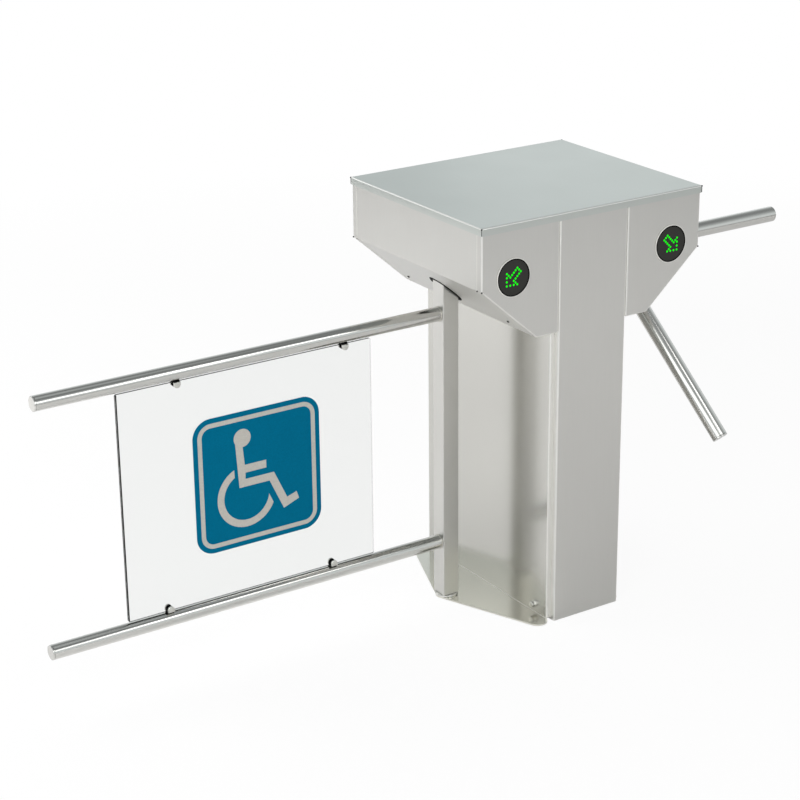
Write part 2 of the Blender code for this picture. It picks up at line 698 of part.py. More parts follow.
def end_cap(radius, wall):
    """A plug for a round tube: a rounded disc and a spigot that fits the bore."""
    spigot = radius - wall - GAP
    rim_centre = (radius - CAP_ROUNDING, GAP + CAP_THICKNESS - CAP_ROUNDING)
    rim = arc(rim_centre, CAP_ROUNDING, 0.0, math.pi / 2, 2)
    profile = [(0.0, -CAP_SPIGOT), (spigot, -CAP_SPIGOT), (spigot, GAP), (radius, GAP)]
    return turned(profile + rim + [(0.0, GAP + CAP_THICKNESS)])


for name, height in (("upper_rail", upper_rail_height), ("lower_rail", LOWER_RAIL_HEIGHT)):
    tube = pipe(RAIL_RADIUS, RAIL_RADIUS - RAIL_WALL, 0.0, rail_end - rail_start)
    piece(name, tube, polished, (-rail_start, 0.0, height), toward_minus_x, gate_axis)
    plug = end_cap(RAIL_RADIUS, RAIL_WALL)
    piece(name + "_cap", plug, polished, (-rail_end, 0.0, height), toward_minus_x, gate_axis)

# Clear panel between the rails, held at each rail by two clips with a round front
panel_low = LOWER_RAIL_HEIGHT + RAIL_RADIUS + PANEL_GAP
panel_high = upper_rail_height - RAIL_RADIUS - PANEL_GAP
panel_x = POST_OUT - PANEL_EDGE_OUT - PANEL_WIDTH / 2
panel_outline = rounded_rectangle(PANEL_WIDTH, panel_high - panel_low, PANEL_CORNER)
piece(
    "acrylic_panel", prism(panel_outline, -PANEL_THICKNESS / 2, PANEL_THICKNESS / 2, "Y"),
    clear_acrylic, (panel_x, 0.0, (panel_low + panel_high) / 2), parent=gate_axis,
)


def clip_outline():
    """A tongue that hangs below a rail centre: straight sides and a round end."""
    half = CLIP_WIDTH / 2
    end = -RAIL_RADIUS - CLIP_LENGTH + half
    root = -RAIL_RADIUS / 2
    return [(half, root), (-half, root)] + arc((0.0, end), half, math.pi, math.tau, 2 * ARC_STEPS)


clip_places = []
for (from_tip, from_post), height, turn in (
    (UPPER_CLIP_INSETS, upper_rail_height, 0.0),
    (LOWER_CLIP_INSETS, LOWER_RAIL_HEIGHT, math.pi),
):
    clip_places.append((PANEL_EDGE_OUT + PANEL_WIDTH - from_tip, height, turn))
    clip_places.append((PANEL_EDGE_OUT + from_post, height, turn))
slot_half = PANEL_THICKNESS / 2 + GAP
for index, (out, height, turn) in enumerate(clip_places, 1):
    holder = empty_at(f"clip_place_{index}", (POST_OUT - out, 0.0, height), (0.0, turn, 0.0), gate_axis)
    clip_shape = prism(clip_outline(), -CLIP_DEPTH / 2, CLIP_DEPTH / 2, "Y")
    clip = piece(f"panel_clip_{index}", clip_shape, polished, parent=holder)
    saddle = rod(RAIL_RADIUS + GAP, -CLIP_WIDTH, CLIP_WIDTH)
    boolean(clip, cutter(f"clip_saddle_{index}", saddle, turn=toward_minus_x, parent=holder))
    slot_low = (-CLIP_WIDTH, -slot_half, -RAIL_RADIUS - 2 * CLIP_LENGTH)
    slot_high = (CLIP_WIDTH, slot_half, -RAIL_RADIUS - PANEL_GAP + GAP)
    boolean(clip, cutter(f"clip_slot_{index}", box(slot_low, slot_high), parent=holder))

sign_outline = rounded_rectangle(SIGN_SIZE, SIGN_SIZE, SIGN_CORNER)
sign_front = -PANEL_THICKNESS / 2 - GAP - SIGN_THICKNESS
piece(
    "sign_plate", prism(sign_outline, sign_front, sign_front + SIGN_THICKNESS, "Y"), sign_blue,
    (POST_OUT - SIGN_OUT, 0.0, (panel_low + panel_high) / 2 + SIGN_RISE), parent=gate_axis,
)

# The works stand in an inclined frame: local +Z points out along the hub axis,
# local -X points up the slope and local Y runs across the head
hub_turn = (0.0, math.pi / 2 + hub_tilt, 0.0)
works = empty_at("works_frame", hub_point, hub_turn)
tripod_axis = empty_at("tripod_axis", hub_point, hub_turn)

# Hub: a cast cone with three bosses that hold the arms
nose_start = HUB_LENGTH - HUB_NOSE_ROUNDING
hub_rear = HUB_REAR_GAP - HUB_STAND_OUT
hub_profile = [(0.0, hub_rear), (HUB_RADIUS - FOLD, hub_rear), (HUB_RADIUS, hub_rear + FOLD)]
hub_profile += [(HUB_RADIUS, HUB_RIM - FOLD), (HUB_RADIUS - FOLD / 2, HUB_RIM)]
hub_profile += arc(
    (HUB_NOSE_RADIUS - HUB_NOSE_ROUNDING, nose_start), HUB_NOSE_ROUNDING, hub_tilt / 2, math.pi / 2,
    ARC_STEPS // 2,
)
hub = piece("hub", turned(hub_profile + [(0.0, HUB_LENGTH)]), cast, parent=tripod_axis)
arm_turns = [(0.0, -hub_tilt, math.tau * k / ARM_COUNT) for k in range(ARM_COUNT)]
boss_profile = [
    (0.0, BOSS_START),
    (BOSS_RADIUS, BOSS_START),
    (BOSS_RADIUS, BOSS_END - FOLD),
    (BOSS_RADIUS - FOLD, BOSS_END),
    (0.0, BOSS_END),
]
for index, turn in enumerate(arm_turns, 1):
    boolean(hub, cutter(f"boss_{index}", turned(boss_profile), turn=turn, parent=tripod_axis), "UNION")
for index, turn in enumerate(arm_turns, 1):
    socket = rod(ARM_RADIUS + GAP, SOCKET_START, BOSS_END + FOLD)
    boolean(hub, cutter(f"socket_{index}", socket, turn=turn, parent=tripod_axis))
shaft_bore = rod(SHAFT_RADIUS + GAP, -HUB_LENGTH, SHAFT_SEAT + GAP)
boolean(hub, cutter("shaft_bore", shaft_bore, parent=tripod_axis))

# Three tube arms with closed ends
arm_end = ARM_REACH - CAP_THICKNESS - GAP
for index, turn in enumerate(arm_turns, 1):
    tube = pipe(ARM_RADIUS, ARM_RADIUS - ARM_WALL, SOCKET_START + GAP, arm_end)
    arm = piece(f"arm_{index}", tube, polished, turn=turn, parent=tripod_axis)
    tip = empty_at(f"arm_tip_{index}", (0.0, 0.0, 0.0), turn, tripod_axis)
    plug = end_cap(ARM_RADIUS, ARM_WALL)
    piece(f"arm_cap_{index}", plug, polished, (0.0, 0.0, arm_end), parent=tip)

# Shaft, bearings and housing
shaft_profile = [
    (0.0, -SHAFT_LENGTH),
    (SHAFT_RADIUS - FOLD / 2, -SHAFT_LENGTH),
    (SHAFT_RADIUS, FOLD / 2 - SHAFT_LENGTH),
    (SHAFT_RADIUS, BEARING_WIDTH - housing_end),
    (SHAFT_SHOULDER_RADIUS, BEARING_WIDTH - housing_end),
    (SHAFT_SHOULDER_RADIUS, -HOUSING_START - BEARING_WIDTH),
    (SHAFT_RADIUS, -HOUSING_START - BEARING_WIDTH),
    (SHAFT_RADIUS, SHAFT_SEAT),
    (0.0, SHAFT_SEAT),
]
piece("main_shaft", turned(shaft_profile, SMALL_ROUND), zinc, parent=tripod_axis)

flange_top = -plate_back - GAP
flange_low = flange_top - HOUSING_FLANGE_THICKNESS
seat_radius = BEARING_RADIUS + GAP
housing_profile = [
    (HOUSING_BORE_RADIUS, BEARING_WIDTH - housing_end),
    (seat_radius, BEARING_WIDTH - housing_end),
    (seat_radius, -housing_end),
    (HOUSING_RADIUS, -housing_end),
    (HOUSING_RADIUS, flange_low),
    (HOUSING_FLANGE_RADIUS, flange_low),
    (HOUSING_FLANGE_RADIUS, flange_top),
    (HOUSING_RADIUS, flange_top),
    (HOUSING_RADIUS, -HOUSING_START),
    (seat_radius, -HOUSING_START),
    (seat_radius, -HOUSING_START - BEARING_WIDTH),
    (HOUSING_BORE_RADIUS, -HOUSING_START - BEARING_WIDTH),
]
piece("bearing_housing", turned(housing_profile, SMALL_ROUND), cast, parent=works)

race = (BEARING_RADIUS - SHAFT_RADIUS) / 4
for name, low in (
    ("outer_bearing", -HOUSING_START - BEARING_WIDTH + GAP),
    ("inner_bearing", -housing_end),
):
    high = low + BEARING_WIDTH - GAP
    ring_profile = [
        (SHAFT_RADIUS + GAP, low), (SHAFT_RADIUS + race, low),
        (SHAFT_RADIUS + race, low + BEARING_GROOVE), (BEARING_RADIUS - race, low + BEARING_GROOVE),
        (BEARING_RADIUS - race, low), (BEARING_RADIUS, low),
        (BEARING_RADIUS, high), (BEARING_RADIUS - race, high),
        (BEARING_RADIUS - race, high - BEARING_GROOVE), (SHAFT_RADIUS + race, high - BEARING_GROOVE),
        (SHAFT_RADIUS + race, high), (SHAFT_RADIUS + GAP, high),
    ]
    piece(name, turned(ring_profile, SMALL_ROUND), zinc, parent=works)

# Index disc with one lug for each arm, held on the shaft by a nut
index_back = INDEX_START + INDEX_THICKNESS
lug_turn = math.asin(LUG_HALF_WIDTH / INDEX_RADIUS)
lug_edge = math.sqrt(LUG_RADIUS ** 2 - LUG_HALF_WIDTH ** 2)
disc_outline = []
for k in range(ARM_COUNT):
    middle = math.pi + math.tau * k / ARM_COUNT
    along = Vector((math.cos(middle), math.sin(middle)))
    across = Vector((-along.y, along.x)) * LUG_HALF_WIDTH
    disc_outline += [tuple(along * lug_edge - across), tuple(along * lug_edge + across)]
    next_lug = middle + math.tau / ARM_COUNT
    disc_outline += arc((0.0, 0.0), INDEX_RADIUS, middle + lug_turn, next_lug - lug_turn, 2 * ARC_STEPS)
index_shape = prism(disc_outline, -index_back, -INDEX_START)
index_disc = piece("index_disc", index_shape, zinc, parent=tripod_axis)
index_bore = rod(SHAFT_RADIUS + GAP, -index_back - SHEET, SHEET - INDEX_START)
boolean(index_disc, cutter("index_bore", index_bore, parent=tripod_axis))
hole_circle = (INDEX_RADIUS + NUT_RADIUS) / 2
for k in range(ARM_COUNT):
    angle = math.tau * k / ARM_COUNT
    place = (hole_circle * math.cos(angle), hole_circle * math.sin(angle), 0.0)
    hole = rod(INDEX_HOLE_RADIUS, -index_back - SHEET, SHEET - INDEX_START, SMALL_ROUND)
    boolean(index_disc, cutter(f"index_hole_{k}", hole, place, parent=tripod_axis))

nut_front = -index_back - GAP
nut_outline = arc((0.0, 0.0), NUT_RADIUS, 0.0, math.tau * 5 / 6, 5)
nut_shape = prism(nut_outline, nut_front - NUT_THICKNESS, nut_front)
nut = piece("shaft_nut", nut_shape, zinc, parent=tripod_axis)
nut_bore = rod(SHAFT_RADIUS + GAP, nut_front - 2 * NUT_THICKNESS, nut_front + SHEET, SMALL_ROUND)
boolean(nut, cutter("nut_bore", nut_bore, parent=tripod_axis))

# Damper at the end of the shaft, on a strap from cheek to cheek
damper_front = nut_front - NUT_THICKNESS - SHEET
damper_back = damper_front - DAMPER_THICKNESS
well = -SHAFT_LENGTH - SHEET / 2
damper_profile = [
    (0.0, damper_back),
    (DAMPER_RADIUS, damper_back),
    (DAMPER_RADIUS, damper_front - FOLD),
    (DAMPER_RADIUS - FOLD, damper_front),
    (SHAFT_RADIUS + GAP, damper_front),
    (SHAFT_RADIUS + GAP, well),
    (0.0, well),
]
damper = piece("damper", turned(damper_profile, SMALL_ROUND), black_plastic, parent=works)
cheek_clear = CHEEK_INNER - GAP
strap_low = (-DAMPER_STRAP_WIDTH / 2, -cheek_clear, damper_back)
strap_high = (DAMPER_STRAP_WIDTH / 2, cheek_clear, damper_back + DAMPER_STRAP_THICKNESS)
boolean(damper, cutter("damper_strap", box(strap_low, strap_high), parent=works), "UNION")

# Mechanism plate, square to the hub axis, with a stepped post for each pawl
plate_half = CHEEK_INNER + CHEEK_THICKNESS + GAP
plate_shape = box((-PLATE_UP, -plate_half, -plate_back), (PLATE_DOWN, plate_half, -PLATE_START))
plate = piece("mechanism_plate", plate_shape, zinc, parent=works)
plate_bore = rod(HOUSING_RADIUS + GAP, -plate_back - SHEET, SHEET - PLATE_START)
boolean(plate, cutter("plate_bore", plate_bore, parent=works))
pawl_front = -pawl_mid + PAWL_THICKNESS / 2
pawl_back = -pawl_mid - PAWL_THICKNESS / 2
post_profile = [
    (0.0, pawl_back - SHEET),
    (PIN_RADIUS, pawl_back - SHEET),
    (PIN_RADIUS, pawl_front + GAP),
    (PIN_POST_RADIUS, pawl_front + GAP),
    (PIN_POST_RADIUS, -plate_back + PLATE_THICKNESS / 2),
    (0.0, -plate_back + PLATE_THICKNESS / 2),
]
for name, side in (("front", -1), ("rear", 1)):
    place = (-PAWL_UP, side * PAWL_ACROSS, 0.0)
    post_shape = turned(post_profile, SMALL_ROUND)
    boolean(plate, cutter(f"{name}_pawl_post", post_shape, place, parent=works), "UNION")

# Two cheeks that tie the mechanism plate to the deck
normal = Vector((math.cos(hub_tilt), -math.sin(hub_tilt)))
up_slope = Vector((math.sin(hub_tilt), math.cos(hub_tilt)))
plate_foot = Vector((hub_point.x, hub_point.z)) - normal * (plate_back + GAP)
plate_head = plate_foot + up_slope * PLATE_UP
cheek_top = plate_head - normal * CHEEK_SIDE
cheek_shoulder = deck_top + CHEEK_SHOULDER_RISE
cheek_outline = [
    (CHEEK_BACK, deck_top + GAP),
    (deck_half_x - SHEET, deck_top + GAP),
    tuple(plate_foot - up_slope * PLATE_DOWN),
    tuple(plate_head),
    tuple(cheek_top),
    (CHEEK_TOP_INNER, cheek_top.y),
    (CHEEK_BACK, cheek_shoulder),
]
for name, side in (("front_cheek", -1), ("rear_cheek", 1)):
    cheek_shape = prism(
        cheek_outline, side * CHEEK_INNER, side * (CHEEK_INNER + CHEEK_THICKNESS), "Y",
    )
    cheek = piece(name, cheek_shape, zinc)
    hole = rod(CHEEK_HOLE_RADIUS, -CHEEK_THICKNESS, CHEEK_THICKNESS, SMALL_ROUND)
    place = (CHEEK_HOLE_OUT, side * (CHEEK_INNER + CHEEK_THICKNESS / 2), cheek_shoulder)
    boolean(cheek, cutter(name + "_hole", hole, place, facing[side]))

# Pawls: drawn locked, with the nose beside a lug, and turned back by the lift at rest
nose_in = LUG_HALF_WIDTH + PAWL_PLAY - PAWL_ACROSS
nose_out = nose_in + PAWL_NOSE_WIDTH
tail_chamfer = PAWL_HALF_DEPTH / 2
under = math.acos(-PAWL_HALF_DEPTH / PAWL_BOSS_RADIUS)
over_tail = math.acos(PAWL_HALF_DEPTH / PAWL_BOSS_RADIUS)
over_nose = math.acos(PAWL_BACK_DEPTH / PAWL_BOSS_RADIUS)
pawl_outline = [
    (-PAWL_NOSE_DROP, nose_in),
    (-PAWL_NOSE_DROP, nose_out),
    (-PAWL_HALF_DEPTH, nose_out + PAWL_NOSE_WIDTH / 4),
]
pawl_outline += arc((0.0, 0.0), PAWL_BOSS_RADIUS, math.tau - under, under)
pawl_outline += [(-PAWL_HALF_DEPTH, PAWL_TAIL), (PAWL_HALF_DEPTH - tail_chamfer, PAWL_TAIL)]
pawl_outline += [(PAWL_HALF_DEPTH, PAWL_TAIL - tail_chamfer)]
pawl_outline += arc((0.0, 0.0), PAWL_BOSS_RADIUS, over_tail, -over_nose)
pawl_outline += [(PAWL_BACK_DEPTH, nose_in + PAWL_NOSE_WIDTH / 2)]
pawl_outline += [(PAWL_BACK_DEPTH - PAWL_NOSE_WIDTH / 2, nose_in)]
push_centre = PAWL_HALF_DEPTH + PUSH_GAP + PLUNGER_RADIUS + PUSH_ARM * math.sin(PAWL_LIFT)
push_centre /= math.cos(PAWL_LIFT)
tip_arc = arc((0.0, 0.0), PLUNGER_RADIUS, 0.0, math.pi / 2, ARC_STEPS // 2)
plunger_foot = PLUNGER_RADIUS - PLUNGER_LENGTH
plunger_profile = [(0.0, plunger_foot), (PLUNGER_RADIUS, plunger_foot)]
plunger_profile += tip_arc[:-1] + [(0.0, PLUNGER_RADIUS)]
push_across = PAWL_ACROSS + PUSH_ARM
coil_half = cheek_clear - push_across
for name, side in (("front", -1), ("rear", 1)):
    outline = [(-up, side * across) for up, across in pawl_outline]
    pawl_shape = prism(outline, -PAWL_THICKNESS / 2, PAWL_THICKNESS / 2)
    pivot = (-PAWL_UP, side * PAWL_ACROSS, -pawl_mid)
    pawl = piece(name + "_pawl", pawl_shape, zinc, pivot, (0.0, 0.0, -side * PAWL_LIFT), works)
    pin_hole = rod(PIN_RADIUS + GAP, -PAWL_THICKNESS, PAWL_THICKNESS, SMALL_ROUND)
    boolean(pawl, cutter(name + "_pin_hole", pin_hole, pivot, parent=works))
    plunger_place = (push_centre - PAWL_UP, side * push_across, -pawl_mid)
    plunger_shape = turned(plunger_profile, SMALL_ROUND)
    piece(name + "_plunger", plunger_shape, zinc, plunger_place, toward_minus_x, works)
    coil_y = side * push_across
    coil_low = (-SOLENOID_TOP, coil_y - coil_half, -pawl_mid - SOLENOID_SIZE / 2)
    coil_high = (SOLENOID_LENGTH - SOLENOID_TOP, coil_y + coil_half, SOLENOID_SIZE / 2 - pawl_mid)
    coil = piece(name + "_solenoid", box(coil_low, coil_high), black_plastic, parent=works)
    bore = rod(PLUNGER_RADIUS + GAP, -SOLENOID_BORE_DEPTH, SOLENOID_BORE_DEPTH, SMALL_ROUND)
    bore_place = (-SOLENOID_TOP, coil_y, -pawl_mid)
    boolean(coil, cutter(name + "_coil_bore", bore, bore_place, toward_minus_x, works))

# Control board on four standoffs, with its relays, terminals and transformer
board_low = deck_top + GAP + BOARD_STANDOFF
board_at = (BOARD_CENTRE[0], BOARD_CENTRE[1], 0.0)
board_half = (BOARD_SIZE[0] / 2, BOARD_SIZE[1] / 2)
board_shape = box((-board_half[0], -board_half[1], board_low), (*board_half, board_low + BOARD_THICKNESS))
board = piece("control_board", board_shape, board_green, board_at)
for side_x in (-1, 1):
    for side_y in (-1, 1):
        standoff_top = board_low + BOARD_THICKNESS / 2
        standoff = rod(BOARD_STANDOFF_RADIUS, deck_top + GAP, standoff_top, 2 * ARC_STEPS)
        place = (
            board_at[0] + side_x * (board_half[0] - 2 * BOARD_STANDOFF_RADIUS),
            board_at[1] + side_y * (board_half[1] - 2 * BOARD_STANDOFF_RADIUS),
            0.0,
        )
        boolean(board, cutter(f"standoff_{side_x}_{side_y}", standoff, place), "UNION")
for index, (x, y, width, depth, height) in enumerate(BOARD_BLOCKS):
    low = (x - width / 2, y - depth / 2, board_low + BOARD_THICKNESS / 2)
    high = (x + width / 2, y + depth / 2, board_low + BOARD_THICKNESS + height)
    boolean(board, cutter(f"board_block_{index}", box(low, high), board_at), "UNION")

# Power supply: an extruded case with cooling fins along its top
supply_x, supply_y, supply_z = SUPPLY_SIZE
supply_low = deck_top + GAP
fin_pitch = supply_y / (2 * SUPPLY_FINS - 1)
supply_outline = [(-supply_y / 2, supply_low), (supply_y / 2, supply_low)]
for k in range(SUPPLY_FINS):
    start = supply_y / 2 - 2 * k * fin_pitch
    supply_outline += [(start, supply_low + supply_z), (start - fin_pitch, supply_low + supply_z)]
    if k < SUPPLY_FINS - 1:
        root = supply_low + supply_z - SUPPLY_FIN_DEPTH
        supply_outline += [(start - fin_pitch, root), (start - 2 * fin_pitch, root)]
supply_shape = prism(supply_outline, -supply_x / 2, supply_x / 2, "X")
piece("power_supply", supply_shape, zinc, (*SUPPLY_CENTRE, 0.0))
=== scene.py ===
"""Finish and fine detail of a waist-high pedestal turnstile in stainless steel."""

import json
import math

import bmesh
import bpy
from mathutils import Matrix, Vector
from mathutils.bvhtree import BVHTree


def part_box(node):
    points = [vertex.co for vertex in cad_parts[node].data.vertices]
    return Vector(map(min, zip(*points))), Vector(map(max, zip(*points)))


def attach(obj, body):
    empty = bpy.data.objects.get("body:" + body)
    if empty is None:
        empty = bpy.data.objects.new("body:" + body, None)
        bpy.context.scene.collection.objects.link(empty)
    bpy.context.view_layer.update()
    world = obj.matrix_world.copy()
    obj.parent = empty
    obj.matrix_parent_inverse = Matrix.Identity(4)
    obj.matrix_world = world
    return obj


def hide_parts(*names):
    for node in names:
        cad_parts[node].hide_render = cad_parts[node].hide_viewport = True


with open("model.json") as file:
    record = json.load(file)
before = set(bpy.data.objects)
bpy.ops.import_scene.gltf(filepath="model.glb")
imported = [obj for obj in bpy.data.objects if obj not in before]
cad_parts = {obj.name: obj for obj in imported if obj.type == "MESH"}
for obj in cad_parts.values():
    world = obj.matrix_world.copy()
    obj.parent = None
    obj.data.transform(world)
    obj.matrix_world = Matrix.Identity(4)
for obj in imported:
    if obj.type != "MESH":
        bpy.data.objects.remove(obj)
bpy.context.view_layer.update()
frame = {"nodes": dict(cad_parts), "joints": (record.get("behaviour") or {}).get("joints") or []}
NODES = frame["nodes"]
JOINTS = {joint["name"]: joint for joint in frame["joints"]}


# Column, head and foot: 2 mm stainless sheet, ground with a fine belt, which gives faint streaks
# and soft, blurred reflections. The folds are pressed round and get a paler steel, a painted
# highlight along each fold. The foot plate is polished, so that it mirrors what stands on it.
SHEET_COLOUR = 0xCFCECA
# Painted light and shade: the same steel, darker and greener on the lid, darker on the walls,
# lighter on the foot.
LID_SKY_TONE = 0xC8CCC8
WALL_SHADED_TONE = 0xC9C8C3
FOLD_HIGHLIGHT_COLOUR = 0xEAE9E5
FOOT_LIT_TONE = 0xE0DED5
SHEET_ROUGHNESS = 0.34
WALL_ROUGHNESS = 0.20
FOLD_ROUGHNESS = 0.36
FOOT_ROUGHNESS = 0.13
GRAIN_PITCH = 0.0009  # real scratches are 0.1 mm apart, drawn wider so that they show
GRAIN_LENGTH = 0.090
GRAIN_TONES = (0.985, 1.012)
GRAIN_STRENGTH = 0.03
GRAIN_DEPTH = 0.0001
CLOUD_SIZE = 0.160
CLOUD_PLAY = 0.01
NOISE_LOW = 0.3  # nearly all of a noise lies between these two
NOISE_HIGH = 0.7
MERGE_REACH = 1e-5
FLAT_ANGLE = math.radians(0.5)
FOLD_SMOOTH = math.radians(50)
EDGE_ANGLE = math.radians(60)
EDGE_BREAK = 0.0004
EDGE_STEPS = 2


def linear(colour):
    """An sRGB colour, written as a hex number, as the linear values a shader takes."""
    channels = [(colour >> shift & 255) / 255 for shift in (16, 8, 0)]
    return [c / 12.92 if c <= 0.04045 else ((c + 0.055) / 1.055) ** 2.4 for c in channels] + [1.0]


def add(material, kind, settings=None, inputs=None, links=None):
    """Add a node: its settings, the values on its sockets and what feeds them."""
    made = material.node_tree.nodes.new(kind)
    for name, value in (settings or {}).items():
        setattr(made, name, value)
    for name, value in (inputs or {}).items():
        made.inputs[name].default_value = value
    for name, source in (links or {}).items():
        material.node_tree.links.new(source, made.inputs[name])
    return made


def new_material(name, **sockets):
    """A material with one Principled shader, given by its sockets."""
    made = bpy.data.materials.new(name)
    made.use_nodes = True
    shader = made.node_tree.nodes["Principled BSDF"]
    for socket, value in sockets.items():
        shader.inputs[socket.replace("_", " ")].default_value = value
    return made, shader


def vary(material, shader, colour, skin, cloud, tones, glosses, strength, depth):
    """Let one pattern tint the colour and raise the skin, and another vary the roughness."""
    tone, gloss = (
        add(
            material, "ShaderNodeMapRange",
            inputs={"From Min": NOISE_LOW, "From Max": NOISE_HIGH, "To Min": least, "To Max": most},
            links={"Value": pattern},
        ).outputs["Result"]
        for pattern, (least, most) in ((skin, tones), (cloud, glosses))
    )
    tinted = add(
        material, "ShaderNodeVectorMath", {"operation": "SCALE"}, {0: linear(colour)[:3]},
        {"Scale": tone},
    ).outputs[0]
    raised = add(
        material, "ShaderNodeBump", inputs={"Strength": strength, "Distance": depth},
        links={"Height": skin},
    ).outputs["Normal"]
    for socket, source in (("Base Color", tinted), ("Roughness", gloss), ("Normal", raised)):
        material.node_tree.links.new(source, shader.inputs[socket])


def ground_sheet(name, colour, along, roughness):
    """Belt-ground stainless: streaks run along one axis, given by its letter."""
    made, shader = new_material(name, Metallic=1.0)
    place = add(made, "ShaderNodeTexCoord").outputs["Object"]
    scale = [1 / GRAIN_LENGTH if axis == along else 1 / GRAIN_PITCH for axis in "XYZ"]
    drawn_out = add(made, "ShaderNodeMapping", inputs={"Scale": scale}, links={"Vector": place})
    grain = add(
        made, "ShaderNodeTexNoise", inputs={"Scale": 1.0, "Detail": 3.0, "Roughness": 0.6},
        links={"Vector": drawn_out.outputs["Vector"]},
    ).outputs["Fac"]
    cloud = add(
        made, "ShaderNodeTexNoise", inputs={"Scale": 1 / CLOUD_SIZE, "Detail": 2.0},
        links={"Vector": place},
    ).outputs["Fac"]
    glosses = (roughness - CLOUD_PLAY, roughness + CLOUD_PLAY)
    vary(made, shader, colour, grain, cloud, GRAIN_TONES, glosses, GRAIN_STRENGTH, GRAIN_DEPTH)
    return made


def merged_copy(node):
    """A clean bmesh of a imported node: triangles merged and flat faces made whole."""
    shape = bmesh.new()
    shape.from_mesh(NODES[node].data)
    bmesh.ops.remove_doubles(shape, verts=shape.verts, dist=MERGE_REACH)
    bmesh.ops.dissolve_limit(
        shape, angle_limit=FLAT_ANGLE, verts=shape.verts, edges=shape.edges,
    )
    return shape


def piece(name, shape, material, body, *nodes):
    """Make an object of a bmesh, with its finish and its body, in place of the nodes named."""
    mesh = bpy.data.meshes.new(name)
    shape.to_mesh(mesh)
    shape.free()
    mesh.shade_smooth()
    mesh.set_sharp_from_angle(angle=FOLD_SMOOTH)
    made = bpy.data.objects.new(name, mesh)
    bpy.context.collection.objects.link(made)
    made.data.materials.append(material)
    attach(made, body)
    if nodes:
        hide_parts(*nodes)
    return made


def keep_flat(made):
    """Let large faces set the shading, so that small rims don't bend the reflections in them."""
    made.modifiers.new("flat faces", "WEIGHTED_NORMAL").keep_sharp = True


def break_edges(made):
    """A live Bevel that takes the sharpness off cut edges."""
    step = made.modifiers.new("broken edge", "BEVEL")
    step.width = EDGE_BREAK
    step.segments = EDGE_STEPS
    step.limit_method = "ANGLE"
    step.angle_limit = EDGE_ANGLE
    keep_flat(made)


sheet_steel = ground_sheet("ground stainless sheet", SHEET_COLOUR, "Z", SHEET_ROUGHNESS)
# The lid, wall and foot steels carry those painted tones of light and shade.
lid_steel = ground_sheet("ground stainless lid", LID_SKY_TONE, "Y", SHEET_ROUGHNESS)
wall_steel = ground_sheet("fine ground stainless, walls", WALL_SHADED_TONE, "Z", WALL_ROUGHNESS)
foot_steel = ground_sheet("polished stainless foot plate", FOOT_LIT_TONE, "Y", FOOT_ROUGHNESS)
# Fold steel: a paler copy of the sheet steel, a painted highlight along the folds.
fold_highlight_steel = ground_sheet(
    "stainless with painted highlight, folds", FOLD_HIGHLIGHT_COLOUR, "Z", FOLD_ROUGHNESS,
)

# Each sheet with its steel, and the axis whose share of the normal tells a fold: on a fold it is
# under FOLD_END and, where the sheet has sides square to that axis, over FOLD_START. Faces on a
# fold take the paler fold steel, the painted highlight.
FOLD_END = 0.97
FOLD_START = 0.15
NO_START = -1.0
for nodes, material, across, least in (
    (("front_channel", "rear_channel"), sheet_steel, 1, NO_START),
    (("front_left_wing", "front_right_wing"), sheet_steel, 1, FOLD_START),
    (("rear_left_wing", "rear_right_wing"), sheet_steel, 1, FOLD_START),
    (("left_skin", "right_skin"), sheet_steel, None, None),
    (("left_wall", "right_wall"), wall_steel, 0, NO_START),
    (("lid",), lid_steel, 2, FOLD_START),
    (("base_plate",), foot_steel, None, None),
):
    for node in nodes:
        sheet = piece(node + "_sheet", merged_copy(node), material, "cabinet", node)
        if across is not None:
            sheet.data.materials.append(fold_highlight_steel)
            for polygon in sheet.data.polygons:
                polygon.material_index = int(least < abs(polygon.normal[across]) < FOLD_END)
        break_edges(sheet)


# Gate post: 43 mm square stainless tube with 2.5 mm walls. Its corners are rolled round and its
# faces are ground along the length, so the face turned from the light reads as a darker grey.
POST_CORNER = 0.0018
POST_WALL = 0.0025
POST_GAP = 0.0007
POST_ROUGHNESS = 0.30
CORNER_STEPS = 6
FACING = 0.5  # a face looks along an axis where its normal's share of it is over this

post_steel = ground_sheet("ground stainless post", SHEET_COLOUR, "Z", POST_ROUGHNESS)
low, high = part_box("gate_post")
low.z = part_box("pivot_disc")[1].z + POST_GAP
shape = bmesh.new()
bmesh.ops.create_cube(shape, size=1.0)
bmesh.ops.scale(shape, vec=high - low, verts=shape.verts)
bmesh.ops.translate(shape, vec=(low + high) / 2, verts=shape.verts)
ends = [face for face in shape.faces if abs(face.normal.z) > FACING]
bmesh.ops.delete(shape, geom=ends, context="FACES_ONLY")
uprights = [
    edge for edge in shape.edges
    if abs(edge.verts[0].co.z - edge.verts[1].co.z) > POST_CORNER
]
bmesh.ops.bevel(
    shape, geom=uprights, offset=POST_CORNER, segments=CORNER_STEPS, affect="EDGES", profile=0.5,
    material=-1,
)
bmesh.ops.recalc_face_normals(shape, faces=shape.faces)
post = piece("gate_post_tube", shape, post_steel, "gate", "gate_post")
wall = post.modifiers.new("wall", "SOLIDIFY")
wall.thickness = POST_WALL
wall.offset = -1.0
wall.use_even_offset = True
break_edges(post)


# Foot of the post: turned steel, zinc plated. A shouldered pin under the post runs in a round
# disc that is bolted to the foot plate. The plating gives the pin a soft, slightly blue-grey
# sheen; on the disc it is bright and nearly mirrors.
ROUND_STEPS = 96
POINT_MERGE = 1e-6
SKIN_TONES = (0.93, 1.05)
SKIN_PLAY = 0.05
SKIN_STRENGTH = 0.3


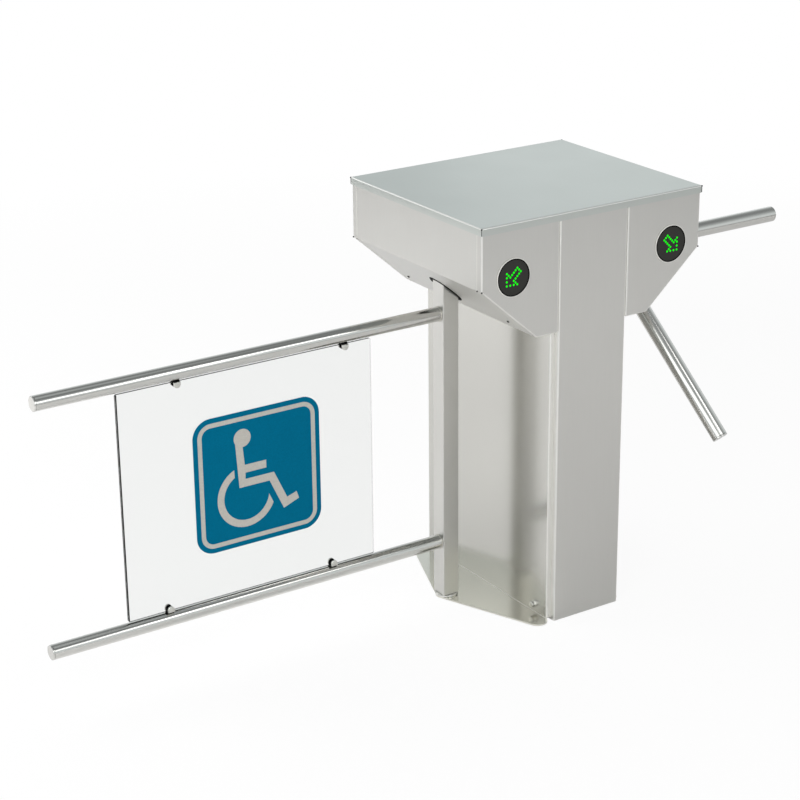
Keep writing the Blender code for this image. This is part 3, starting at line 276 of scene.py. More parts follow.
def spun(profile, place=None, steps=ROUND_STEPS):
    """Spin (radius, height) points about Z into a closed shape, then move it to its place."""
    shape = bmesh.new()
    ring = [shape.verts.new((radius, 0.0, height)) for radius, height in profile]
    edges = [shape.edges.new(pair) for pair in zip(ring, ring[1:])]
    if profile[0][0] > 0 or profile[-1][0] > 0:
        edges.append(shape.edges.new((ring[-1], ring[0])))
    bmesh.ops.spin(
        shape, geom=ring + edges, cent=(0, 0, 0), axis=(0, 0, 1), angle=math.tau, steps=steps,
        use_merge=True,
    )
    bmesh.ops.remove_doubles(shape, verts=shape.verts, dist=POINT_MERGE)
    bmesh.ops.recalc_face_normals(shape, faces=shape.faces)
    if place is not None:
        bmesh.ops.transform(shape, matrix=place, verts=shape.verts)
    return shape


def fine_skin(name, colour, roughness, grain, depth, metallic=1.0, specular=0.5):
    """A metal or plastic whose skin shows a fine, even grain of a given size and depth."""
    made, shader = new_material(name, Metallic=metallic, Specular_IOR_Level=specular)
    place = add(made, "ShaderNodeTexCoord").outputs["Object"]
    speck = add(
        made, "ShaderNodeTexNoise", inputs={"Scale": 1 / grain, "Detail": 2.0},
        links={"Vector": place},
    ).outputs["Fac"]
    glosses = (roughness - SKIN_PLAY, roughness + SKIN_PLAY)
    vary(made, shader, colour, speck, speck, SKIN_TONES, glosses, SKIN_STRENGTH, depth)
    return made


zinc = fine_skin("zinc plated steel", 0xA9ADB0, roughness=0.36, grain=0.0040, depth=0.00004)
bright_zinc = fine_skin(
    "bright zinc plating", 0xDEDDD8, roughness=0.14, grain=0.0020, depth=0.00001,
)
disc_low, disc_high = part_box("pivot_disc")
axis_x = (disc_low.x + disc_high.x) / 2
on_axis = Matrix.Translation((axis_x, 0.0, 0.0))
disc_radius = (disc_high.x - disc_low.x) / 2
PIN_RADIUS = 0.009
PIN_CLEAR = 0.0003
DISC_CHAMFER = 0.00125
shape = spun([
    (PIN_RADIUS + PIN_CLEAR, disc_low.z), (disc_radius - EDGE_BREAK, disc_low.z),
    (disc_radius, disc_low.z + EDGE_BREAK), (disc_radius, disc_high.z - DISC_CHAMFER),
    (disc_radius - DISC_CHAMFER, disc_high.z), (PIN_RADIUS + PIN_CLEAR, disc_high.z),
], on_axis)
pivot_disc = piece("pivot_disc_turned", shape, bright_zinc, "cabinet", "pivot_disc")
keep_flat(pivot_disc)

SHOULDER_RADIUS = 0.016
PLUG_HALF = 0.0187
PLUG_TOP = 0.034
post_foot = low.z
shape = spun([
    (0.0, disc_low.z), (PIN_RADIUS - EDGE_BREAK, disc_low.z), (PIN_RADIUS, disc_low.z + EDGE_BREAK),
    (PIN_RADIUS, disc_high.z + PIN_CLEAR), (SHOULDER_RADIUS - EDGE_BREAK, disc_high.z + PIN_CLEAR),
    (SHOULDER_RADIUS, disc_high.z + PIN_CLEAR + EDGE_BREAK), (SHOULDER_RADIUS, post_foot),
    (PLUG_HALF, post_foot), (PLUG_HALF, PLUG_TOP), (0.0, PLUG_TOP),
], on_axis)
foot = piece("foot_pivot_turned", shape, zinc, "gate", "foot_pivot")


# Rails and arms: round stainless tube, 34 mm and 38 mm, 1.5 mm thick, polished by a belt that
# runs round it. The polish leaves fine rings, and a long bright line with darker lines beside it.
RAIL_RADIUS = 0.017
ARM_RADIUS = 0.019
TUBE_WALL = 0.0015
RING_PITCH = 0.0011
RING_SPREAD = 0.030
RING_TONES = (0.975, 1.015)
RING_STRENGTH = 0.01
RING_DEPTH = 0.00005
TUBE_CLOUD = 0.110
TUBE_GLOSSES = (0.13, 0.17)
CAP_THICKNESS = 0.004
CAP_ROUNDING = 0.0015
CAP_SPIGOT = 0.015
SEAT_GAP = 0.0003


def tube_steel(name, turn):
    """Ring-polished stainless: fine rings across a tube whose axis is given by its turn."""
    made, shader = new_material(name, Metallic=1.0)
    place = add(made, "ShaderNodeTexCoord").outputs["Object"]
    patterns = []
    for size, detail in (
        ((RING_SPREAD, RING_SPREAD, RING_PITCH), 3.0),
        ((TUBE_CLOUD / 4, TUBE_CLOUD / 4, TUBE_CLOUD), 2.0),
    ):
        turned = add(
            made, "ShaderNodeMapping", {"vector_type": "TEXTURE"},
            {"Rotation": turn.to_euler(), "Scale": size}, {"Vector": place},
        ).outputs["Vector"]
        patterns.append(add(
            made, "ShaderNodeTexNoise", inputs={"Scale": 1.0, "Detail": detail},
            links={"Vector": turned},
        ).outputs["Fac"])
    vary(
        made, shader, SHEET_COLOUR, *patterns, RING_TONES, TUBE_GLOSSES, RING_STRENGTH, RING_DEPTH,
    )
    return made


def tube_profile(radius, start, end):
    """A tube's wall, with its cut edges broken."""
    bore = radius - TUBE_WALL
    return [
        (bore, start + EDGE_BREAK), (bore + EDGE_BREAK, start), (radius - EDGE_BREAK, start),
        (radius, start + EDGE_BREAK), (radius, end - EDGE_BREAK), (radius - EDGE_BREAK, end),
        (bore + EDGE_BREAK, end), (bore, end - EDGE_BREAK),
    ]


def cap_profile(radius, start):
    """A pressed end cap: a spigot in the bore and a disc with a round rim."""
    spigot = radius - TUBE_WALL - SEAT_GAP
    top = start + CAP_THICKNESS
    rim = [
        (radius - CAP_ROUNDING * (1 - math.cos(t)), top - CAP_ROUNDING * (1 - math.sin(t)))
        for t in (math.pi / 2 * k / CORNER_STEPS for k in range(CORNER_STEPS + 1))
    ]
    return [
        (0.0, start - CAP_SPIGOT), (spigot, start - CAP_SPIGOT), (spigot, start),
        (radius - EDGE_BREAK, start), (radius, start + EDGE_BREAK), *rim, (0.0, top),
    ]


def tube_with_cap(name, radius, start, end, cap_start, turn, origin, body):
    """A tube and its end cap on one axis, in place of the two CAD nodes."""
    place = Matrix.Translation(origin) @ turn.to_4x4()
    material = tube_steel("ring-polished stainless, " + name.replace("_", " "), turn)
    shape = spun(tube_profile(radius, start, end), place)
    tube = piece(name + "_tube", shape, material, body, name)
    cap_node = name.replace("arm", "arm_cap") if name.startswith("arm") else name + "_cap"
    shape = spun(cap_profile(radius, cap_start), place)
    cap = piece(cap_node + "_disc", shape, material, body, cap_node)
    for part in (tube, cap):
        keep_flat(part)


toward_gate = Matrix.Rotation(-math.pi / 2, 3, "Y")
for name in ("upper_rail", "lower_rail"):
    low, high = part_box(name)
    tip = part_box(name + "_cap")[0].x
    origin = Vector((0.0, 0.0, (low.z + high.z) / 2))
    tube_with_cap(
        name, RAIL_RADIUS, -high.x, -low.x, -tip - CAP_THICKNESS, toward_gate, origin, "gate",
    )

# The weld that joins each rail to the post: a narrow ring with the ripples of a hand-run bead,
# brushed bright but left a little straw-coloured.
BEAD_REACH = 0.0012
BEAD_LENGTH = 0.0018
BEAD_RIPPLES = 26
BEAD_RIPPLE = 0.00010

weld_steel = fine_skin("brushed weld", 0xCBC8BF, roughness=0.30, grain=0.0012, depth=0.00006)
for name in ("upper_rail", "lower_rail"):
    low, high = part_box(name)
    place = Matrix.Translation((0.0, 0.0, (low.z + high.z) / 2)) @ toward_gate.to_4x4()
    start = -high.x
    swell = [
        (RAIL_RADIUS + BEAD_REACH * math.cos(t), start + BEAD_LENGTH * math.sin(t))
        for t in (math.pi / 2 * k / CORNER_STEPS for k in range(CORNER_STEPS + 1))
    ]
    bore = RAIL_RADIUS - SEAT_GAP
    shape = spun([(bore, start), *swell[:-1], (bore, start + BEAD_LENGTH)])
    for vert in shape.verts:
        if math.hypot(vert.co.x, vert.co.y) > RAIL_RADIUS:
            wave = BEAD_RIPPLE * math.sin(BEAD_RIPPLES * math.atan2(vert.co.y, vert.co.x))
            vert.co.x *= 1 + wave / RAIL_RADIUS
            vert.co.y *= 1 + wave / RAIL_RADIUS
            vert.co.z += wave
    bmesh.ops.transform(shape, matrix=place, verts=shape.verts)
    bead = piece(name + "_weld", shape, weld_steel, "gate")

# Tripod: three arms, a third of a turn apart, lean out from the hub by the angle that lays one
# arm level. The joint's own axis and point place them and the hub.
ARM_START = 0.0483
ARM_END = 0.5267
ARM_LEAN = math.radians(48.65)
turned_out = Vector(JOINTS["tripod_turn"]["axis"]).normalized()
hub_point = Vector(JOINTS["tripod_turn"]["pos_m"])
up_slope = Vector((-turned_out.z, 0.0, turned_out.x))
hub_turn = Matrix((-up_slope, (0.0, 1.0, 0.0), turned_out)).transposed()
arm_turns = [
    hub_turn @ Matrix.Rotation(math.tau * k / 3, 3, "Z") @ Matrix.Rotation(-ARM_LEAN, 3, "Y")
    for k in range(3)
]
for k, turn in enumerate(arm_turns, 1):
    tube_with_cap(
        f"arm_{k}", ARM_RADIUS, ARM_START, ARM_END, ARM_END + SEAT_GAP, turn, hub_point, "tripod",
    )


# Hub of the tripod: an aluminium casting, a short cone with three bosses that hold the arms. It
# is cast with soft fillets, then bead-blasted, which leaves a fine, dull, even grain. Each arm
# sits in a bored socket.
HUB_VOXEL = 0.0013
HUB_RELAX = 8
RELAX_FACTOR = 0.5
BOSS_RADIUS = 0.026
BOSS_START = 0.031
BOSS_END = 0.082
BOSS_CHAMFER = 0.003
SOCKET_RADIUS = 0.0193
SOCKET_START = 0.048
SHAFT_BORE = 0.0153
SHAFT_SEAT = 0.0248
HUB_FOLD = 0.003
HUB_RADIUS = 0.068
HUB_REAR = -0.002
HUB_RIM = 0.012
HUB_LENGTH = 0.062
NOSE_RADIUS = 0.028
NOSE_ROUNDING = 0.010

cast_metal = fine_skin(
    "bead-blasted cast aluminium", 0xA6A7A5, roughness=0.44, grain=0.0011, depth=0.00010,
)
nose_out, nose_up = NOSE_RADIUS - NOSE_ROUNDING, HUB_LENGTH - NOSE_ROUNDING
nose_turns = [
    ARM_LEAN / 2 + (math.pi / 2 - ARM_LEAN / 2) * k / CORNER_STEPS for k in range(CORNER_STEPS + 1)
]
nose = [
    (nose_out + NOSE_ROUNDING * math.cos(t), nose_up + NOSE_ROUNDING * math.sin(t))
    for t in nose_turns
]
hub_place = Matrix.Translation(hub_point) @ hub_turn.to_4x4()


def tool(name, shape):
    """A shape that only joins or cuts, and leaves when the hub is finished."""
    mesh = bpy.data.meshes.new(name)
    shape.to_mesh(mesh)
    shape.free()
    made = bpy.data.objects.new(name, mesh)
    bpy.context.collection.objects.link(made)
    return made


body = tool("hub_body", spun([
    (0.0, HUB_REAR), (HUB_RADIUS - HUB_FOLD, HUB_REAR), (HUB_RADIUS, HUB_REAR + HUB_FOLD),
    (HUB_RADIUS, HUB_RIM - HUB_FOLD), (HUB_RADIUS - HUB_FOLD / 2, HUB_RIM), *nose,
    (0.0, HUB_LENGTH),
], hub_place))
tools = []
for k, turn in enumerate(arm_turns):
    place = Matrix.Translation(hub_point) @ turn.to_4x4()
    tools.append((tool(f"hub_boss_{k}", spun([
        (0.0, BOSS_START), (BOSS_RADIUS, BOSS_START), (BOSS_RADIUS, BOSS_END - BOSS_CHAMFER),
        (BOSS_RADIUS - BOSS_CHAMFER, BOSS_END), (0.0, BOSS_END),
    ], place)), "UNION"))
join_count = len(tools)
for k, turn in enumerate(arm_turns):
    place = Matrix.Translation(hub_point) @ turn.to_4x4()
    tools.append((tool(f"hub_socket_{k}", spun([
        (0.0, SOCKET_START), (SOCKET_RADIUS, SOCKET_START), (SOCKET_RADIUS, BOSS_END + HUB_FOLD),
        (0.0, BOSS_END + HUB_FOLD),
    ], place)), "DIFFERENCE"))
tools.append((tool("hub_shaft_bore", spun([
    (0.0, HUB_REAR - HUB_FOLD), (SHAFT_BORE, HUB_REAR - HUB_FOLD), (SHAFT_BORE, SHAFT_SEAT),
    (0.0, SHAFT_SEAT),
], hub_place)), "DIFFERENCE"))
for count, (other, operation) in enumerate(tools):
    if count == join_count:
        remesh = body.modifiers.new("cast", "REMESH")
        remesh.mode = "VOXEL"
        remesh.voxel_size = HUB_VOXEL
        relax = body.modifiers.new("fillets", "SMOOTH")
        relax.factor = RELAX_FACTOR
        relax.iterations = HUB_RELAX
    step = body.modifiers.new(other.name, "BOOLEAN")
    step.operation = operation
    step.solver = "EXACT"
    step.object = other
graph = bpy.context.evaluated_depsgraph_get()
finished = bpy.data.meshes.new_from_object(body.evaluated_get(graph))
shape = bmesh.new()
shape.from_mesh(finished)
bpy.data.meshes.remove(finished)
for used in [body] + [other for other, operation in tools]:
    bpy.data.objects.remove(used)
hub = piece("hub_casting", shape, cast_metal, "tripod", "hub")


# Clips of the panel: a dull black rubber block at a rail, slotted over the panel's edge, between
# two satin stainless cheeks with a round end. A cheek is 4.5 mm thick, with a rounded rim, and
# stops short of the rail, so that a black line of rubber shows above it.
CHEEK_THICKNESS = 0.0045
CHEEK_GAP = 0.0026
CHEEK_ROUNDING = 0.0014
CHEEK_STEPS = 4
CORE_INSET = 0.0006

clip_steel = fine_skin("satin stainless", 0xD2D1CB, roughness=0.30, grain=0.0025, depth=0.00003)
black_rubber = fine_skin(
    "moulded black rubber", 0x0A0A0A, roughness=0.70, grain=0.0012, depth=0.00004, metallic=0.0,
    specular=0.10,
)


def kept_side(shape, place, normal):
    """Cut a closed shape with a plane, keep what the normal points to and close the cut."""
    cut = bmesh.ops.bisect_plane(
        shape, geom=shape.verts[:] + shape.edges[:] + shape.faces[:], plane_co=place,
        plane_no=normal, clear_inner=True,
    )
    rim = [item for item in cut["geom_cut"] if isinstance(item, bmesh.types.BMEdge)]
    bmesh.ops.holes_fill(shape, edges=rim, sides=0)


for k in range(1, 5):
    node = f"panel_clip_{k}"
    low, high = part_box(node)
    rail, hang = ("upper_rail", -1.0) if k < 3 else ("lower_rail", 1.0)
    cheek_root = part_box(rail)[0 if hang < 0 else 1].z + hang * CHEEK_GAP
    core = merged_copy(node)
    for side in (-1.0, 1.0):
        kept_side(core, (0.0, side * (high.y - CHEEK_THICKNESS), 0.0), (0.0, -side, 0.0))
    middle = Vector(((low.x + high.x) / 2, 0.0, (low.z + high.z) / 2))
    narrowed = Matrix.Diagonal((1 - 2 * CORE_INSET / (high.x - low.x), 1.0, 1.0, 1.0))
    narrowed = Matrix.Translation(middle) @ narrowed @ Matrix.Translation(-middle)
    bmesh.ops.transform(core, matrix=narrowed, verts=core.verts)
    core_piece = piece(node + "_rubber", core, black_rubber, "gate", node)
    cheeks = bmesh.new()
    for side in (-1.0, 1.0):
        cheek = merged_copy(node)
        kept_side(cheek, (0.0, side * (high.y - CHEEK_THICKNESS), 0.0), (0.0, side, 0.0))
        kept_side(cheek, (0.0, 0.0, cheek_root), (0.0, 0.0, hang))
        rim = [
            edge for edge in cheek.edges
            if all(abs(vert.co.y - side * high.y) < EDGE_BREAK for vert in edge.verts)
        ]
        bmesh.ops.bevel(
            cheek, geom=rim, offset=CHEEK_ROUNDING, segments=CHEEK_STEPS, affect="EDGES",
            profile=0.5, material=-1,
        )
        mesh = bpy.data.meshes.new("cheek")
        cheek.to_mesh(mesh)
        cheek.free()
        cheeks.from_mesh(mesh)
        bpy.data.meshes.remove(mesh)
    cheek_piece = piece(node + "_cheeks", cheeks, clip_steel, "gate")


# Panel of the gate: 6 mm clear acrylic, cast, with sawn top and bottom edges and small round
# corners. The faces are almost invisible, a touch greyer than what is behind them. The top and
# bottom edges are coloured dark, and a black strip runs down the front of the free side. Both are
# painted shade, for the dark lines that light bent in clear sheet draws along its edges.
SHADE_EDGE_STRIP = 0.0030
ACRYLIC_IOR = 1.49

panel_clear = new_material(
    "clear cast acrylic", Base_Color=linear(0xF2F3F2), Roughness=0.01, IOR=ACRYLIC_IOR,
    Transmission_Weight=1.0,
)[0]
panel_edge_shade = new_material(
    "acrylic edge, painted dark", Base_Color=linear(0x232726), Roughness=0.22, IOR=ACRYLIC_IOR,
)[0]
shape = merged_copy("acrylic_panel")
front = [face for face in shape.faces if face.normal.y < -FACING]
bmesh.ops.inset_individual(shape, faces=front, thickness=SHADE_EDGE_STRIP, use_even_offset=True)
panel = piece("acrylic_panel_sheet", shape, panel_clear, "gate", "acrylic_panel")
panel.data.materials.append(panel_edge_shade)
panel.data.materials.append(black_rubber)
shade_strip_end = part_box("acrylic_panel")[0].x + SHADE_EDGE_STRIP
# Materials 1 and 2 are painted shade along the edges.
for polygon in panel.data.polygons:  # material 0 is clear, 1 the sawn edges, 2 the edge strip
    if polygon.normal.y < -FACING and polygon.center.x < shade_strip_end:
        polygon.material_index = 2
    else:
        polygon.material_index = int(abs(polygon.normal.z) > FACING)
break_edges(panel)


# Sign: a 1.5 mm grey plate with round corners and a blue film on its face. A pale grey border and
# the international figure of a person in a wheelchair are cut from film and pressed on. The films
# are matt, so they keep their colour in the light.
FILM = 0.00012
PLATE_GROWTH = 0.0025
PLATE_SHIFT = Vector((0.0015, 0.0, -0.0021))
BORDER_IN = 0.0116
BORDER_WIDTH = 0.0105
BORDER_STEPS = 12
SIGN_CORNER = 0.044

sign_blue, sign_grey = (
    fine_skin(
        name + " sign film", colour, roughness=0.55, grain=0.0030, depth=0.00001, metallic=0.0,
        specular=0.02,
    )
    for name, colour in (("blue", 0x006586), ("pale grey", 0xB9B7B0))
)
sign_low, sign_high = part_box("sign_plate")
sign_centre = (sign_low + sign_high) / 2
sign_centre.y = sign_low.y
to_sign = Matrix.Translation(sign_centre + PLATE_SHIFT) @ Matrix.Rotation(math.pi / 2, 4, "X")


def rounded_square(size, corner):
    """One square face with round corners, flat on the floor."""
    shape = bmesh.new()
    bmesh.ops.create_grid(shape, x_segments=1, y_segments=1, size=size / 2)
    bmesh.ops.bevel(
        shape, geom=shape.verts[:], offset=corner, segments=BORDER_STEPS, affect="VERTICES",
        profile=0.5, material=-1,
    )
    return shape


def thickened(shape, depth):
    """Give flat faces a thickness along Z, on the side that depth points to."""
    made = bmesh.ops.extrude_face_region(shape, geom=shape.faces[:])
    moved = [item for item in made["geom"] if isinstance(item, bmesh.types.BMVert)]
    bmesh.ops.translate(shape, verts=moved, vec=(0.0, 0.0, depth))
    bmesh.ops.recalc_face_normals(shape, faces=shape.faces)
    bmesh.ops.transform(shape, matrix=to_sign, verts=shape.verts)
    return shape


sign_size = sign_high.x - sign_low.x + PLATE_GROWTH
plate = thickened(rounded_square(sign_size, SIGN_CORNER), sign_low.y - sign_high.y)
sign = piece("sign_plate_panel", plate, sign_blue, "gate", "sign_plate")
sign.data.materials.append(sign_grey)
for polygon in sign.data.polygons:
    polygon.material_index = int(polygon.normal.y > FACING)
break_edges(sign)

border = rounded_square(sign_size - 2 * BORDER_IN, SIGN_CORNER - BORDER_IN)
inner_face = border.faces[:]
bmesh.ops.inset_individual(border, faces=inner_face, thickness=BORDER_WIDTH, use_even_offset=True)
bmesh.ops.delete(border, geom=inner_face, context="FACES_ONLY")
border_piece = piece("sign_border", thickened(border, FILM), sign_grey, "gate")


def film(outlines, name):
    """Flat shapes of film on the sign, from outlines of (x, z) about the sign's centre."""
    shape = bmesh.new()
    for outline in outlines:
        corners = [
            shape.verts.new((sign_centre.x + x, sign_centre.y - FILM, sign_centre.z + z))
            for x, z in outline
        ]
        face = shape.faces.new(corners)
        made = bmesh.ops.extrude_face_region(shape, geom=[face])
        moved = [item for item in made["geom"] if isinstance(item, bmesh.types.BMVert)]
        bmesh.ops.translate(shape, verts=moved, vec=(0.0, FILM, 0.0))
    bmesh.ops.recalc_face_normals(shape, faces=shape.faces)
    made = piece(name, shape, sign_grey, "gate")
    return made


def wheel_film(centre, inner, outer, inner_span, outer_span, name):
    """A band of film bent round a centre; each rim has its own first and last angle."""
    shape = bmesh.new()
    middle = Vector((sign_centre.x + centre[0], sign_centre.y, sign_centre.z + centre[1]))
    start = inner_span[0]
    along = Vector((math.cos(start), 0.0, math.sin(start)))
    corners = [
        shape.verts.new(middle + along * radius - Vector((0.0, FILM * lift, 0.0)))
        for radius, lift in ((inner, 0), (outer, 0), (outer, 1), (inner, 1))
    ]
    edges = [shape.edges.new(pair) for pair in zip(corners, corners[1:] + corners[:1])]
    sweep = inner_span[1] - start
    bmesh.ops.spin(
        shape, geom=corners + edges, cent=middle, axis=(0, -1, 0), angle=sweep, steps=ROUND_STEPS,
    )
    for vert in shape.verts:
        arm = vert.co - middle
        if math.hypot(arm.x, arm.z) > (inner + outer) / 2:
            done = ((math.atan2(arm.z, arm.x) - start + FILM) % math.tau - FILM) / sweep
            turned = outer_span[0] + (outer_span[1] - outer_span[0]) * done
            vert.co.x = middle.x + outer * math.cos(turned)
            vert.co.z = middle.z + outer * math.sin(turned)
    bmesh.ops.holes_fill(shape, edges=shape.edges, sides=4)
    bmesh.ops.recalc_face_normals(shape, faces=shape.faces)
    made = piece(name, shape, sign_grey, "gate")
    return made


HEAD_CENTRE = (-0.0366, 0.0960)
HEAD_RADIUS = 0.0215
WHEEL_CENTRE = (-0.030, -0.044)
WHEEL_OUTER = 0.0745
WHEEL_INNER = 0.0575
WHEEL_INNER_SPAN = (math.radians(120.3), math.radians(351.6))
WHEEL_OUTER_SPAN = (math.radians(113.7), math.radians(334.7))
NECK_LEFT = math.radians(211.7)
NECK_RIGHT = math.radians(-89.5)
head_turns = [
    NECK_LEFT + (NECK_RIGHT - NECK_LEFT) * k / ROUND_STEPS for k in range(ROUND_STEPS + 1)
]
figure = [
    (HEAD_CENTRE[0] + HEAD_RADIUS * math.cos(t), HEAD_CENTRE[1] + HEAD_RADIUS * math.sin(t))
    for t in head_turns
] + [
    (-0.0325, 0.031), (0.022, 0.031), (0.022, 0.012), (-0.0315, 0.012), (-0.032, -0.003),
    (0.041, -0.003), (0.073, -0.072), (0.098, -0.064), (0.104, -0.082), (0.064, -0.097),
    (0.029, -0.0215), (-0.048, -0.0215),
]
film([figure], "sign_figure")
wheel_film(WHEEL_CENTRE, WHEEL_INNER, WHEEL_OUTER, WHEEL_INNER_SPAN, WHEEL_OUTER_SPAN, "sign_wheel")


# Indicators: a round lamp in each wing, with a thin pale ring, a matt black plastic body and a
# dark smoked face that hardly shines. Twenty green light-emitting diodes in it draw an arrow that
# points out and down.
RING_RADIUS = 0.0446
RING_WIDTH = 0.0014
RING_LIFT = 0.0003
FACE_LIFT = 0.0013
RIM_TOP = 0.0023
RIM_INNER = 0.0406
BODY_RADIUS = 0.0370
DIODE_PITCH = 0.0047
DIODE_RADIUS = 0.0025
DIODE_RISE = 0.0006
DIODE_START = (-0.0183, -0.0170)
DIODE_STEPS = 12

pale_ring = fine_skin(
    "pale plastic ring", 0xE2E1DC, roughness=0.45, grain=0.0020, depth=0.00001, metallic=0.0,
)
black_plastic = fine_skin(
    "moulded black plastic", 0x0A0A0A, roughness=0.42, grain=0.0010, depth=0.00005, metallic=0.0,
    specular=0.05,
)
smoked_face = fine_skin(
    "smoked acrylic face", 0x373735, roughness=0.34, grain=0.0030, depth=0.00001, metallic=0.0,
    specular=0.03,
)
diode_green = new_material(
    "lit green diode", Base_Color=linear(0x009000), Roughness=0.3, Specular_IOR_Level=0.05,
    Emission_Color=linear(0x00F000), Emission_Strength=1.0,
)[0]
ring_bore = RING_RADIUS - RING_WIDTH
arrow = [(k, 0) for k in (0, 2, 4, 6)] + [(0, k) for k in (2, 4, 6)] + [(1, 5), (5, 1), (7, 7)]
arrow += [(2 + k, 4 + k) for k in range(5)] + [(4 + k, 2 + k) for k in range(5)]
for end, side_y in (("front", -1), ("rear", 1)):
    for hand, side_x in (("left", -1), ("right", 1)):
        node = f"{end}_{hand}_indicator"
        low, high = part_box(node)
        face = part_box(f"{end}_{hand}_wing")[0 if side_y < 0 else 1].y
        centre = Vector(((low.x + high.x) / 2, face, (low.z + high.z) / 2))
        place = Matrix.Translation(centre) @ Matrix.Rotation(-side_y * math.pi / 2, 4, "X")
        shape = spun([
            (ring_bore, RING_LIFT), (RING_RADIUS, RING_LIFT), (RING_RADIUS, RIM_TOP - EDGE_BREAK),
            (RING_RADIUS - EDGE_BREAK, RIM_TOP), (ring_bore, RIM_TOP),
        ], place)
        ring = piece(node + "_ring", shape, pale_ring, "cabinet")
        rear = low.y - high.y + RIM_TOP
        shape = spun([
            (0.0, rear), (BODY_RADIUS, rear), (BODY_RADIUS, RING_LIFT), (ring_bore, RING_LIFT),
            (ring_bore, RIM_TOP - EDGE_BREAK), (ring_bore - EDGE_BREAK, RIM_TOP),
            (RIM_INNER, RIM_TOP), (RIM_INNER, FACE_LIFT), (0.0, FACE_LIFT),
        ], place)
        body = piece(node + "_body", shape, black_plastic, "cabinet", node)
        body.data.materials.append(smoked_face)
        for polygon in body.data.polygons:
            across = polygon.center - centre
            outward = polygon.normal.y * side_y > FACING
            polygon.material_index = int(outward and math.hypot(across.x, across.z) < RIM_INNER)
        shape = bmesh.new()
        for across, up in arrow:
            spot = Matrix.Translation((
                side_x * -(DIODE_START[0] + across * DIODE_PITCH),
                (DIODE_START[1] + up * DIODE_PITCH) * -side_y, FACE_LIFT,
            ))
            bmesh.ops.create_uvsphere(
                shape, u_segments=DIODE_STEPS, v_segments=DIODE_STEPS // 2, radius=DIODE_RADIUS,
                matrix=spot @ Matrix.Diagonal((1.0, 1.0, DIODE_RISE / DIODE_RADIUS, 1.0)),
            )
        bmesh.ops.transform(shape, matrix=place, verts=shape.verts)
        diodes = piece(node + "_diodes", shape, diode_green, "cabinet")
        keep_flat(body)


# Screws: hexagon bolts with a washer, bright from their zinc plating, hold the two ends of each
# wall at its foot. Small dome screws with a socket, dull black from oxide, hold the skins on the
# slopes.
BOLT_RADIUS = 0.0078
BOLT_HEIGHT = 0.0080
BOLT_CHAMFER = 0.0007
WASHER_RADIUS = 0.0094
WASHER_THICKNESS = 0.0014
SCREW_RADIUS = 0.0034
SCREW_HEIGHT = 0.0026
SCREW_SOCKET = 0.0012
SCREW_DEPTH = 0.0012
SCREW_STEPS = 24
HEXAGON = 6
BOLT_SPOT = (0.110, 0.199, 0.024)
SCREW_OUT = 0.190
SCREW_ENDS = (("front", -0.195), ("rear", 0.209))
SCREW_RISE = 0.743

black_oxide = fine_skin("black oxide screw", 0x2B2B2A, roughness=0.40, grain=0.0010, depth=0.00002)
dome = [
    (SCREW_RADIUS * math.cos(t), SCREW_HEIGHT * math.sin(t))
    for t in (math.pi / 2 * k / CORNER_STEPS for k in range(CORNER_STEPS + 1))
    if SCREW_RADIUS * math.cos(t) > SCREW_SOCKET
]
socket_rim = SCREW_HEIGHT * math.sqrt(1 - (SCREW_SOCKET / SCREW_RADIUS) ** 2)


def seat_on(node, spot):
    """The place and turn of a thing that sits on a node's surface, at the point nearest a spot."""
    shape = merged_copy(node)
    place, normal, index, distance = BVHTree.FromBMesh(shape).find_nearest(Vector(spot))
    shape.free()
    return Matrix.Translation(place) @ normal.to_track_quat("Z", "Y").to_matrix().to_4x4()


for node, side_x in (("left_wall", -1), ("right_wall", 1)):
    for end, side_y in (("front", -1), ("rear", 1)):
        seat = seat_on(node, (side_x * BOLT_SPOT[0], side_y * BOLT_SPOT[1], BOLT_SPOT[2]))
        shape = spun([
            (0.0, 0.0), (WASHER_RADIUS, 0.0), (WASHER_RADIUS, WASHER_THICKNESS - EDGE_BREAK),
            (WASHER_RADIUS - EDGE_BREAK, WASHER_THICKNESS), (0.0, WASHER_THICKNESS),
        ], seat)
        washer = piece(f"{node}_{end}_washer", shape, bright_zinc, "cabinet")
        top = WASHER_THICKNESS + BOLT_HEIGHT
        shape = spun([
            (0.0, WASHER_THICKNESS), (BOLT_RADIUS, WASHER_THICKNESS),
            (BOLT_RADIUS, top - BOLT_CHAMFER), (BOLT_RADIUS - BOLT_CHAMFER, top), (0.0, top),
        ], seat, HEXAGON)
        bolt = piece(f"{node}_{end}_bolt", shape, bright_zinc, "cabinet")
        for part in (washer, bolt):
            keep_flat(part)
for node, side_x in (("left_skin", -1), ("right_skin", 1)):
    for end, y in SCREW_ENDS:
        shape = spun([
            (0.0, -EDGE_BREAK), (SCREW_RADIUS, -EDGE_BREAK), *dome, (SCREW_SOCKET, socket_rim),
            (SCREW_SOCKET, socket_rim - SCREW_DEPTH), (0.0, socket_rim - SCREW_DEPTH),
        ], seat_on(node, (side_x * SCREW_OUT, y, SCREW_RISE)), SCREW_STEPS)
        screw = piece(f"{node}_{end}_screw", shape, black_oxide, "cabinet")

# Corner reliefs: where folds meet, the sheet is notched so that it does not tear. A dark dab sits
# in each notch, and a thin dark rod sits in the open corner of the lid's skirt. They are painted
# shade, the dark of the shaded inside seen through these gaps.
DAB_RADIUS = 0.0019
SKIRT_DAB = 0.0007
SHOULDER_RISE = 0.854
DAB_STEPS = 16
